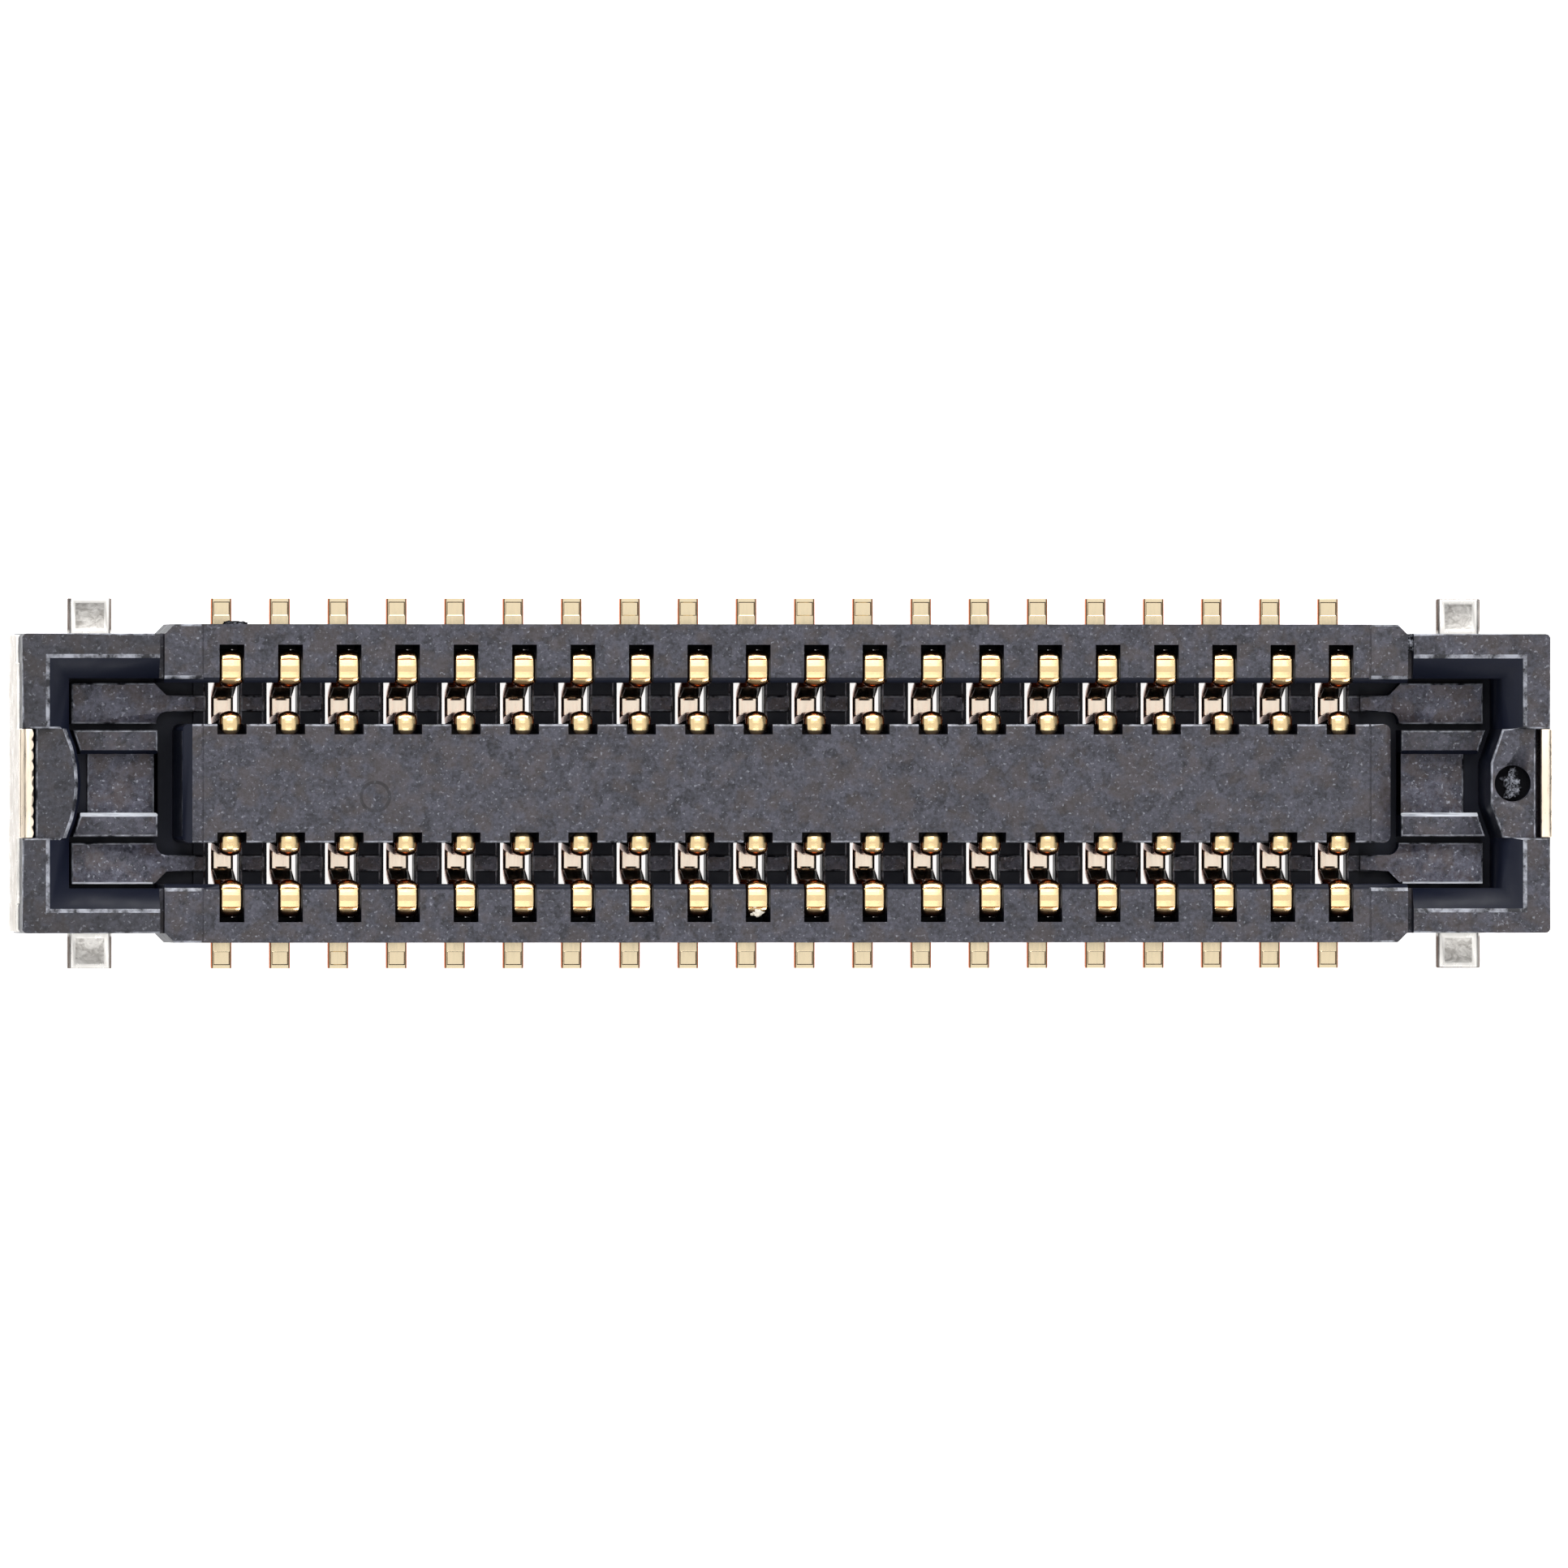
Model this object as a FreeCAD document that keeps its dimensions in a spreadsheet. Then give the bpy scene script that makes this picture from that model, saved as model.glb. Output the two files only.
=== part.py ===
import FreeCAD, Part
import os

import Sketcher

# Board to board socket, 2 rows of contacts at 0.4 mm pitch, in millimetres.
# +X runs along the contact rows, +Z points out of the mating face.
# The origin is at the middle of the connector, on the board's surface.

SIZES = (
    ("contact_pitch", 0.4, "spacing of the contacts along a row"),
    ("contacts_per_row", 20, "contacts in each of the two rows"),
    ("standoff", 0.02, "height of the housing's underside above the board"),
    ("wing_top", 0.80, "height of the frames at both ends"),
    ("rail_top", 0.76, "height of the long rails"),
    ("island_top", 0.76, "height of the middle island"),
    ("block_top", 0.76, "height of the block in each end wall"),
    ("channel_floor", 0.10, "floor of the mating groove"),
    ("row_floor", 0.15, "groove floor between the contacts"),
    ("rib_top", 0.19, "rib along the middle of that floor"),
    ("ledge_top", 0.245, "ledges in the end pockets"),
    ("platform_top", 0.36, "pair of strips beside the middle recess"),
    ("recess_floor", 0.134, "middle recess in the end pockets"),
    ("island_width", 0.808, "island across the connector"),
    ("island_overrun", 0.34, "island past the last contact"),
    ("island_corner", 0.05, "radius of the island's upright corners"),
    ("groove_width", 0.281, "mating groove between island and rail"),
    ("groove_chamfer", 0.035, "lead-in along the rails' inner edges"),
    ("rib_width", 0.11, "rib on the groove floor, and the ledges' tongues"),
    ("rail_width", 0.398, "rail across the connector"),
    ("rail_overrun", 0.46, "rail past the last contact"),
    ("rail_corner", 0.07, "cut corners at the rails' ends"),
    ("rail_joint", 0.035, "narrow gap between a rail's end and the frame"),
    ("rail_joint_depth", 0.12, "depth of that gap below the frame's top"),
    ("wing_setback", 0.064, "frame sides behind the rails' outer faces"),
    ("wing_length", 0.975, "frame from the rail's end to the end face"),
    ("wing_corner", 0.035, "radius of the frame's upright corners"),
    ("pocket_relief", 0.03, "end pocket wider than the groove, each side"),
    ("end_rim", 0.175, "flat rim between the lead-in and the end face"),
    ("lead_in_width", 0.15, "sloped lead-in round the end pocket"),
    ("lead_in_depth", 0.07, "drop of that slope"),
    ("trench_width", 0.064, "gap between a ledge and the end wall"),
    ("ledge_setback", 0.02, "ledge's slanted corner past the rail's end"),
    ("ledge_taper", 0.085, "slanted outer corner where a ledge meets its tongue"),
    ("ledge_bend", 0.075, "radius of the ledge round the island's corner"),
    ("island_gap", 0.125, "gap between the island's end and the platform"),
    ("platform_gap", 0.041, "gap between a ledge and the platform strip"),
    ("platform_width", 0.163, "platform strip across the connector"),
    ("platform_slant", 0.055, "platform strip's slanted outer end"),
    ("recess_length", 0.462, "middle recess along the connector"),
    ("block_width", 0.742, "block in the end wall, and the metal tongue"),
    ("block_nose", 0.08, "block's nose past the end wall's inner face"),
    ("nose_flat", 0.28, "flat front of the slanted nose"),
    ("dimple_radius", 0.124, "round dimple in one block"),
    ("dimple_depth", 0.05, "depth of that dimple"),
    ("dimple_inset", 0.255, "dimple's centre from the end face"),
    ("parting_width", 0.014, "fine mould parting line over rails and island"),
    ("parting_depth", 0.01, "depth of the parting line"),
    ("strip_thickness", 0.07, "contact strip's thickness"),
    ("contact_width", 0.14, "contact strip's width"),
    ("tail_projection", 0.177, "solder tail past the rail"),
    ("hump_span", 0.233, "hump over its two legs"),
    ("hump_protrusion", 0.029, "inner leg proud of the groove wall"),
    ("hump_drop", 0.025, "hump's top below the rail's top"),
    ("hump_bend", 0.08, "outside radius of the hump's bends"),
    ("neck_width", 0.085, "narrow inner leg"),
    ("neck_head", 0.085, "narrow part's start below the hump's top"),
    ("dip_height", 0.07, "underside of the strip's lowest run"),
    ("fall_angle", 71, "slope of the inner leg's foot, degrees"),
    ("fall_height", 0.20, "height of that slope"),
    ("spring_reach", 0.086, "spring's top proud of the island's side"),
    ("spring_lean", 0.03, "spring's foot further in than its top"),
    ("tip_depth", 0.145, "curled tip across the connector"),
    ("tip_height", 0.115, "curled tip's height"),
    ("tip_drop", 0.065, "tip's top below the island's top"),
    ("tip_bend", 0.072, "outside radius of the curled tip"),
    ("heel_cut", 0.045, "cut of the spring's heel and of the tip's end"),
    ("side_clearance", 0.015, "contact to slot wall, each side"),
    ("back_clearance", 0.055, "outer leg to the slot's end"),
    ("window_clearance", 0.048, "contact to the floor window, each side"),
    ("notch_clearance", 0.03, "contact to the island's notch, each side"),
    ("tip_clearance", 0.012, "tip to the back of the notch"),
    ("notch_floor", 0.05, "floor of the island's notches"),
    ("sheet_thickness", 0.065, "hold-down sheet metal"),
    ("plate_proud", 0.02, "end plate proud of the plastic"),
    ("plate_inset", 0.01, "end plate inside the frame's side faces"),
    ("plate_height", 0.52, "end plate's height at its corners"),
    ("shoulder_rise", 0.08, "end plate's higher middle part"),
    ("shoulder_inset", 0.19, "width of the lower corner steps"),
    ("tongue_top", 0.80, "top of the middle tongue"),
    ("tongue_gap", 0.05, "gap between the tongue and the block"),
    ("tongue_slot_floor", 0.45, "bottom of that gap"),
    ("tongue_bend", 0.035, "rounded outer edge of the tongue"),
    ("sheet_bend", 0.08, "outside radius where the plate meets the base"),
    ("arm_width", 0.20, "base arms across the connector"),
    ("base_web", 0.13, "base sheet behind the end plate"),
    ("leg_width", 0.30, "solder leg along the connector"),
    ("leg_place", 0.90, "solder leg's middle past the last contact"),
    ("leg_coin", 0.02, "bevel round the solder legs"),
)

DERIVED = (
    ("row_half", "(Sizes.contacts_per_row - 1) * Sizes.contact_pitch / 2"),
    ("parting", "row_half + Sizes.contact_pitch / 2"),
    ("island_end", "row_half + Sizes.island_overrun"),
    ("platform_start", "island_end + Sizes.island_gap"),
    ("rail_end", "row_half + Sizes.rail_overrun"),
    ("end_face", "rail_end + Sizes.wing_length"),
    ("rim_inner", "end_face - Sizes.end_rim"),
    ("pocket_end", "rim_inner - Sizes.lead_in_width"),
    ("ledge_end", "pocket_end - Sizes.trench_width"),
    ("plate_outer", "end_face + Sizes.plate_proud"),
    ("plate_inner", "plate_outer - Sizes.sheet_thickness"),
    ("block_outer", "plate_inner - Sizes.tongue_gap"),
    ("leg_x", "row_half + Sizes.leg_place"),
    ("island_side", "Sizes.island_width / 2"),
    ("groove_side", "island_side + Sizes.groove_width"),
    ("rail_side", "groove_side + Sizes.rail_width"),
    ("wing_side", "rail_side - Sizes.wing_setback"),
    ("pocket_side", "groove_side + Sizes.pocket_relief"),
    ("rim_side", "pocket_side + Sizes.lead_in_width"),
    ("rib_inner", "(island_side + groove_side - Sizes.rib_width) / 2"),
    ("rib_outer", "rib_inner + Sizes.rib_width"),
    ("platform_outer", "island_side - Sizes.platform_gap"),
    ("platform_inner", "platform_outer - Sizes.platform_width"),
    ("block_side", "Sizes.block_width / 2"),
    ("tail_reach", "rail_side + Sizes.tail_projection"),
    ("hump_inner", "groove_side - Sizes.hump_protrusion"),
    ("leg_outer", "hump_inner + Sizes.hump_span"),
    ("slot_outer", "leg_outer + Sizes.back_clearance"),
    ("slot_half", "Sizes.contact_width / 2 + Sizes.side_clearance"),
    ("window_half", "Sizes.contact_width / 2 + Sizes.window_clearance"),
    ("notch_half", "Sizes.contact_width / 2 + Sizes.notch_clearance"),
    ("hump_top", "Sizes.rail_top - Sizes.hump_drop"),
    ("spring_face", "island_side + Sizes.spring_reach"),
    ("tip_inner", "spring_face - Sizes.tip_depth"),
    ("tip_top", "Sizes.island_top - Sizes.tip_drop"),
    ("notch_back", "tip_inner - Sizes.tip_clearance"),
    ("spring_foot", "spring_face - Sizes.spring_lean"),
    ("fall_foot", "hump_inner - Sizes.fall_height / tan(Sizes.fall_angle * 1deg)"),
    ("plate_side", "wing_side - Sizes.plate_inset"),
    ("arm_inner", "plate_side - Sizes.arm_width"),
)

doc = FreeCAD.newDocument("board_to_board_socket")
sheet = doc.addObject("Spreadsheet::Sheet", "Sizes")
for row, (alias, number, note) in enumerate(SIZES, start=1):
    sheet.set(f"A{row}", str(number))
    sheet.setAlias(f"A{row}", alias)
    sheet.set(f"B{row}", note)
doc.recompute()

# Places that follow from the driving sizes: x along the rows, y across, z up.
line = doc.addObject("App::VarSet", "Line")
for name, formula in DERIVED:
    line.addProperty("App::PropertyFloat", name)
    line.setExpression(name, formula)
doc.recompute()


def number(formula):
    """The present value of a formula in the sheet's names."""
    return float(sheet.evalExpression(formula))


def negative(formula):
    """The same formula on the other side of the middle."""
    return f"-({formula})"


def both_rows(outline):
    """An outline and its mirror image in the other contact row."""
    return [outline, [(x, negative(y)) for x, y in outline]]


def both_ends(outline):
    """An outline and its mirror image at the other end."""
    return [outline, [(negative(x), y) for x, y in outline]]


def all_corners(outline):
    """An outline in all four quarters of the connector."""
    return both_ends(outline) + [both_rows(half)[1] for half in both_ends(outline)]


def block(x_low, x_high, y_low, y_high):
    """A rectangle given by its four sides."""
    return [(x_low, y_low), (x_high, y_low), (x_high, y_high), (x_low, y_high)]


def across(half_outline):
    """A closed outline, given on its +Y side only, continued by its mirror image."""
    return half_outline + [(x, negative(y)) for x, y in reversed(half_outline)]


def add_sketch(body, name, plane, height):
    """An empty sketch on one of the body's own planes, moved along its normal."""
    sketch = body.newObject("Sketcher::SketchObject", name)
    support = [item for item in body.Origin.OriginFeatures if item.Role == plane]
    sketch.AttachmentSupport = [(support[0], "")]
    sketch.MapMode = "FlatFace"
    sketch.setExpression("AttachmentOffset.Base.z", height)
    return sketch


def pin(sketch, geometry, end, x, y):
    """Tie one end of a line or an arc to a place given by two formulas."""
    for kind, formula in (("DistanceX", x), ("DistanceY", y)):
        tie = Sketcher.Constraint(kind, -1, 1, geometry, end, number(formula))
        index = sketch.addConstraint(tie)
        sketch.setExpression(f"Constraints[{index}]", formula)


def draw(sketch, outlines):
    """Closed outlines of straight edges, every corner tied to the sheet."""
    for outline in outlines:
        first = sketch.GeometryCount
        places = [FreeCAD.Vector(number(x), number(y), 0) for x, y in outline]
        for index, place in enumerate(places):
            following = places[(index + 1) % len(places)]
            sketch.addGeometry(Part.LineSegment(place, following), False)
        for index, (x, y) in enumerate(outline):
            after = first + (index + 1) % len(outline)
            sketch.addConstraint(Sketcher.Constraint("Coincident", first + index, 2, after, 1))
            pin(sketch, first + index, 1, x, y)


def feature(body, kind, name, sketch, length, reversed_way=False):
    """A pad or a pocket of a given length on a sketch."""
    step = body.newObject(f"PartDesign::{kind}", name)
    step.Profile = sketch
    step.setExpression("Length", length)
    step.Reversed = reversed_way
    doc.recompute()
    return step


def pad(body, name, bottom, top, outlines):
    """Material between two heights."""
    sketch = add_sketch(body, f"{name}_outline", "XY_Plane", bottom)
    draw(sketch, outlines)
    return feature(body, "Pad", name, sketch, f"{top} - ({bottom})")


def pocket(body, name, top, floor, outlines):
    """A cut from one height down to a floor."""
    sketch = add_sketch(body, f"{name}_outline", "XY_Plane", top)
    draw(sketch, outlines)
    return feature(body, "Pocket", name, sketch, f"{top} - ({floor})")


def edges_where(step, way, test):
    """Names of the edges of a step that run one way and whose ends both pass a test."""
    found = []
    for index, edge in enumerate(step.Shape.Edges, start=1):
        ends = [corner.Point for corner in edge.Vertexes]
        if len(ends) == 2 and all(test(end) for end in ends):
            if (ends[1] - ends[0]).cross(way).Length < 1e-6:
                found.append(f"Edge{index}")
    return found


def dress(body, kind, name, step, way, test, size):
    """A fillet or a chamfer on the edges that run one way and pass a test."""
    dressed = body.newObject(f"PartDesign::{kind}", name)
    dressed.Base = (step, edges_where(step, way, test))
    dressed.setExpression("Radius" if kind == "Fillet" else "Size", size)
    doc.recompute()
    return dressed


ALONG = FreeCAD.Vector(1, 0, 0)
ACROSS = FreeCAD.Vector(0, 1, 0)
UPRIGHT = FreeCAD.Vector(0, 0, 1)


def near(first, second):
    """Whether two lengths are the same to a tenth of a micrometre."""
    return abs(first - second) < 1e-4


# Contact: a strip that is bent twice over a hump, falls to the window in the groove's
# floor and rises to a curled spring tip. It is drawn for the +Y row, at x = 0.

contact = doc.addObject("PartDesign::Body", "contact")
THICK = "Sizes.strip_thickness"
FALL_TOP = f"Sizes.dip_height + {THICK} + Sizes.fall_height"
HALF_FALL = "Sizes.fall_angle * 1deg / 2"
TIP_FOOT = "Line.tip_top - Sizes.tip_height"
HUMP_GAP_OUTER = f"Line.leg_outer - {THICK}"
HUMP_GAP_INNER = f"Line.hump_inner + {THICK}"
HEEL = f"Line.fall_foot + {THICK} * tan({HALF_FALL})"
LEG_BEND = f"{FALL_TOP} - {THICK} * tan(45deg - {HALF_FALL})"
SPRING_HEEL = f"Line.spring_foot - {THICK}"

strip_sketch = add_sketch(contact, "strip_outline", "YZ_Plane", "-Sizes.contact_width / 2")
draw(strip_sketch, [[
    ("Line.tail_reach", "0.0"),
    (HUMP_GAP_OUTER, "0.0"),
    (HUMP_GAP_OUTER, f"Line.hump_top - {THICK}"),
    (HUMP_GAP_INNER, f"Line.hump_top - {THICK}"),
    (HUMP_GAP_INNER, LEG_BEND),
    (HEEL, "Sizes.dip_height"),
    (SPRING_HEEL, "Sizes.dip_height"),
    (f"Line.spring_face - {THICK}", TIP_FOOT),
    ("Line.tip_inner", TIP_FOOT),
    ("Line.tip_inner", "Line.tip_top"),
    ("Line.spring_face", "Line.tip_top"),
    ("Line.spring_foot", f"Sizes.dip_height + {THICK}"),
    ("Line.fall_foot", f"Sizes.dip_height + {THICK}"),
    ("Line.hump_inner", FALL_TOP),
    ("Line.hump_inner", "Line.hump_top"),
    ("Line.leg_outer", "Line.hump_top"),
    ("Line.leg_outer", THICK),
    ("Line.tail_reach", THICK),
]])
strip = feature(contact, "Pad", "strip", strip_sketch, "Sizes.contact_width")


def hump_bends(point):
    """The two bends at the top of the hump."""
    outer = near(point.y, line.leg_outer) or near(point.y, line.hump_inner)
    return outer and near(point.z, line.hump_top)


def tip_bend(point):
    """The curl of the spring's tip, where it meets the plug."""
    return near(point.y, line.spring_face) and near(point.z, line.tip_top)


def heel_cuts(point):
    """The spring's heel under the groove, and the corner at the tip's end."""
    tip_end = near(point.z, line.tip_top) and near(point.y, line.tip_inner)
    heel = near(point.z, sheet.dip_height) and near(point.y, number(SPRING_HEEL))
    return tip_end or heel


hump = dress(contact, "Fillet", "hump_bends", strip, ALONG, hump_bends, "Sizes.hump_bend")
tip = dress(contact, "Fillet", "tip_bend", hump, ALONG, tip_bend, "Sizes.tip_bend")
dress(contact, "Chamfer", "heel_cuts", tip, ALONG, heel_cuts, "Sizes.heel_cut")

# The inner leg is cut narrow on both sides, from under the hump down to its slope.
neck_sketch = add_sketch(contact, "neck_outline", "XZ_Plane", f"-({HUMP_GAP_OUTER})")
draw(neck_sketch, both_ends(block(
    "Sizes.neck_width / 2", "Sizes.contact_width / 2",
    FALL_TOP, "Line.hump_top - Sizes.neck_head",
)))
NECK_DEPTH = f"{HUMP_GAP_OUTER} - Line.hump_inner"
feature(contact, "Pocket", "neck", neck_sketch, NECK_DEPTH, reversed_way=True)


# Hold-down: one folded sheet with an end plate, its tongue and two solder legs.
# It is drawn for the +X end.

hold_down = doc.addObject("PartDesign::Body", "hold_down")
SHEET = "Sizes.sheet_thickness"
SHOULDER_TOP = "Sizes.plate_height + Sizes.shoulder_rise"
SHOULDER_SIDE = "Line.plate_side - Sizes.shoulder_inset"
PLATE = [
    ("Line.plate_side", "0.0"),
    ("Line.plate_side", "Sizes.plate_height"),
    (SHOULDER_SIDE, "Sizes.plate_height"),
    (SHOULDER_SIDE, SHOULDER_TOP),
    ("Line.block_side", SHOULDER_TOP),
    ("Line.block_side", "Sizes.tongue_top"),
]
PLATE_OUTLINE = PLATE + [(negative(y), z) for y, z in reversed(PLATE)]
LEG_NEAR = "Line.leg_x - Sizes.leg_width / 2"
LEG_FAR = "Line.leg_x + Sizes.leg_width / 2"
BASE_OUTLINE = across([
    ("Line.plate_outer", "Line.plate_side"),
    (LEG_FAR, "Line.plate_side"),
    (LEG_FAR, "Line.tail_reach"),
    (LEG_NEAR, "Line.tail_reach"),
    (LEG_NEAR, "Line.arm_inner"),
    ("Line.plate_inner - Sizes.base_web", "Line.arm_inner"),
])

base = pad(hold_down, "base", "0.0", SHEET, [BASE_OUTLINE])
plate_sketch = add_sketch(hold_down, "plate_outline", "YZ_Plane", "Line.plate_inner")
draw(plate_sketch, [PLATE_OUTLINE])
plate = feature(hold_down, "Pad", "plate", plate_sketch, SHEET)


def sheet_fold(point):
    """The bend between the base sheet and the end plate."""
    return near(point.x, line.plate_outer) and near(point.z, 0)


def tongue_edge(point):
    """The outer top edge of the tongue."""
    return near(point.x, line.plate_outer) and near(point.z, sheet.tongue_top)


def leg_rim(point):
    """The upper edges round the end of each solder leg."""
    sides = near(point.x, number(LEG_NEAR)) or near(point.x, number(LEG_FAR))
    return sides and near(point.z, sheet.sheet_thickness)


fold = dress(hold_down, "Fillet", "sheet_fold", plate, ACROSS, sheet_fold, "Sizes.sheet_bend")
tongue = dress(hold_down, "Fillet", "tongue_edge", fold, ACROSS, tongue_edge, "Sizes.tongue_bend")
dress(hold_down, "Chamfer", "leg_rim", tongue, ACROSS, leg_rim, "Sizes.leg_coin")


# Housing: one moulded piece.

housing = doc.addObject("PartDesign::Body", "housing")
housing.Label = "housing"

walls = pad(housing, "walls", "Sizes.standoff", "Sizes.wing_top", [
    block("-Line.end_face", "Line.end_face", "-Line.wing_side", "Line.wing_side"),
])


def wing_corners(point):
    """The four upright corners of the end frames."""
    return near(abs(point.x), line.end_face) and near(abs(point.y), line.wing_side)


dress(housing, "Fillet", "wing_corners", walls, UPRIGHT, wing_corners, "Sizes.wing_corner")

pad(housing, "rails", "Sizes.standoff", "Sizes.wing_top", both_rows([
    ("-Line.rail_end", "Line.groove_side"),
    ("Line.rail_end", "Line.groove_side"),
    ("Line.rail_end", "Line.rail_side - Sizes.rail_corner"),
    ("Line.rail_end - Sizes.rail_corner", "Line.rail_side"),
    ("-Line.rail_end + Sizes.rail_corner", "Line.rail_side"),
    ("-Line.rail_end", "Line.rail_side - Sizes.rail_corner"),
]))
pocket(housing, "rail_level", "Sizes.wing_top", "Sizes.rail_top", [
    block("-Line.rail_end", "Line.rail_end", "-Line.rail_side", "Line.rail_side"),
])
pocket(
    housing, "rail_joints", "Sizes.wing_top", "Sizes.wing_top - Sizes.rail_joint_depth",
    all_corners(block(
        "Line.rail_end", "Line.rail_end + Sizes.rail_joint",
        "Line.groove_side", "Line.rail_side",
    )),
)

# The mating space: two grooves that open into a wider pocket at each end.
pocket(housing, "mating_space", "Sizes.wing_top", "Sizes.channel_floor", [across([
    ("Line.pocket_end", "Line.pocket_side"),
    ("Line.rail_end", "Line.pocket_side"),
    ("Line.rail_end", "Line.groove_side"),
    ("-Line.rail_end", "Line.groove_side"),
    ("-Line.rail_end", "Line.pocket_side"),
    ("-Line.pocket_end", "Line.pocket_side"),
])])

# The lead-in slopes down to each end pocket.
for side, sign in (("right", ""), ("left", "-")):
    foot = add_sketch(housing, f"lead_in_foot_{side}", "XY_Plane", "Sizes.wing_top - Sizes.lead_in_depth")
    draw(foot, [block(
        f"{sign}Line.platform_start", f"{sign}Line.pocket_end",
        "-Line.pocket_side", "Line.pocket_side",
    )])
    rim = add_sketch(housing, f"lead_in_rim_{side}", "XY_Plane", "Sizes.wing_top")
    draw(rim, [block(
        f"{sign}Line.platform_start", f"{sign}Line.rim_inner",
        "-Line.rim_side", "Line.rim_side",
    )])
    lead_in = housing.newObject("PartDesign::SubtractiveLoft", f"lead_in_{side}")
    lead_in.Profile = foot
    lead_in.Sections = [rim]
    lead_in.Ruled = True
    doc.recompute()


def groove_edges(point):
    """The rails' upper edges along the mating grooves."""
    return near(abs(point.y), line.groove_side) and near(point.z, sheet.rail_top)


dress(housing, "Chamfer", "groove_chamfer", lead_in, ALONG, groove_edges, "Sizes.groove_chamfer")

island = pad(housing, "island", "Sizes.channel_floor", "Sizes.island_top", [
    block("-Line.island_end", "Line.island_end", "-Line.island_side", "Line.island_side"),
])


def island_corners(point):
    """The four upright corners of the island."""
    return near(abs(point.x), line.island_end) and near(abs(point.y), line.island_side)


dress(housing, "Fillet", "island_corners", island, UPRIGHT, island_corners, "Sizes.island_corner")

# Ledges beside the end pockets' middle, each with a tongue that reaches into the groove.
LEDGE_CORNER = "Line.rail_end + Sizes.ledge_setback"
ledges = pad(housing, "ledges", "Sizes.channel_floor", "Sizes.ledge_top", all_corners([
    ("Line.ledge_end", "Line.groove_side"),
    (LEDGE_CORNER, "Line.groove_side"),
    (f"{LEDGE_CORNER} - Sizes.ledge_taper", "Line.rib_outer"),
    ("Line.parting", "Line.rib_outer"),
    ("Line.parting", "Line.rib_inner"),
    ("Line.platform_start", "Line.rib_inner"),
    ("Line.platform_start", "Line.island_side"),
    ("Line.ledge_end", "Line.island_side"),
]))


def ledge_bends(point):
    """The ledges' inner corners that run round the island's corners."""
    return near(abs(point.x), line.platform_start) and near(abs(point.y), line.rib_inner)


LEDGE_LIMIT = "0.9 * (Line.rib_inner - Line.island_side)"
LEDGE_BEND = f"min(Sizes.ledge_bend; {LEDGE_LIMIT})"
dress(housing, "Fillet", "ledge_bends", ledges, UPRIGHT, ledge_bends, LEDGE_BEND)

pad(housing, "row_floors", "Sizes.channel_floor", "Sizes.row_floor", both_rows(
    block("-Line.parting", "Line.parting", "Line.island_side", "Line.groove_side"),
))
pad(housing, "ribs", "Sizes.channel_floor", "Sizes.rib_top", both_rows(
    block("-Line.parting", "Line.parting", "Line.rib_inner", "Line.rib_outer"),
))
pad(housing, "platforms", "Sizes.channel_floor", "Sizes.platform_top", all_corners([
    ("Line.platform_start", "Line.platform_inner"),
    ("Line.ledge_end - Sizes.platform_slant", "Line.platform_inner"),
    ("Line.ledge_end", "Line.platform_outer"),
    ("Line.platform_start", "Line.platform_outer"),
]))
pad(housing, "recesses", "Sizes.channel_floor", "Sizes.recess_floor", both_ends(block(
    "Line.platform_start", "Line.platform_start + Sizes.recess_length",
    "-Line.platform_inner", "Line.platform_inner",
)))

# The block in each end wall: a slanted nose at the right, a curved one at the left.
NOSE = "Line.pocket_end - Sizes.block_nose"
pad(housing, "right_block", "Sizes.channel_floor", "Sizes.block_top", [across([
    ("Line.block_outer", "Line.block_side"),
    ("Line.pocket_end", "Line.block_side"),
    (NOSE, "Sizes.nose_flat / 2"),
])])
left_sketch = add_sketch(housing, "left_block_outline", "XY_Plane", "Sizes.channel_floor")
BLOCK_CORNERS = (
    ("-Line.pocket_end", "Line.block_side"),
    ("-Line.block_outer", "Line.block_side"),
    ("-Line.block_outer", "-Line.block_side"),
    ("-Line.pocket_end", "-Line.block_side"),
)
places = [FreeCAD.Vector(number(x), number(y), 0) for x, y in BLOCK_CORNERS]
for first, second in zip(places, places[1:]):
    left_sketch.addGeometry(Part.LineSegment(first, second), False)
nose_point = FreeCAD.Vector(-number(NOSE), 0, 0)
left_sketch.addGeometry(Part.Arc(places[3], nose_point, places[0]), False)
for index in range(3):
    pin(left_sketch, index, 1, *BLOCK_CORNERS[index])
    if index < 2:
        left_sketch.addConstraint(Sketcher.Constraint("Coincident", index, 2, index + 1, 1))
pin(left_sketch, 2, 2, *BLOCK_CORNERS[3])
left_sketch.addConstraint(Sketcher.Constraint("Coincident", 2, 2, 3, 1))
left_sketch.addConstraint(Sketcher.Constraint("Coincident", 3, 2, 0, 1))
NOSE_RADIUS = "(Line.block_side ^ 2 + Sizes.block_nose ^ 2) / (2 * Sizes.block_nose)"
bow = left_sketch.addConstraint(Sketcher.Constraint("Radius", 3, number(NOSE_RADIUS)))
left_sketch.setExpression(f"Constraints[{bow}]", NOSE_RADIUS)
feature(housing, "Pad", "left_block", left_sketch, "Sizes.block_top - Sizes.channel_floor")

pocket(housing, "block_steps", "Sizes.wing_top", "Sizes.block_top", both_ends(block(
    "Line.pocket_end", "Line.plate_outer", "-Line.block_side", "Line.block_side",
)))
pocket(housing, "tongue_slots", "Sizes.wing_top", "Sizes.tongue_slot_floor", both_ends(block(
    "Line.block_outer", "Line.plate_outer", "-Line.block_side", "Line.block_side",
)))

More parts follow.
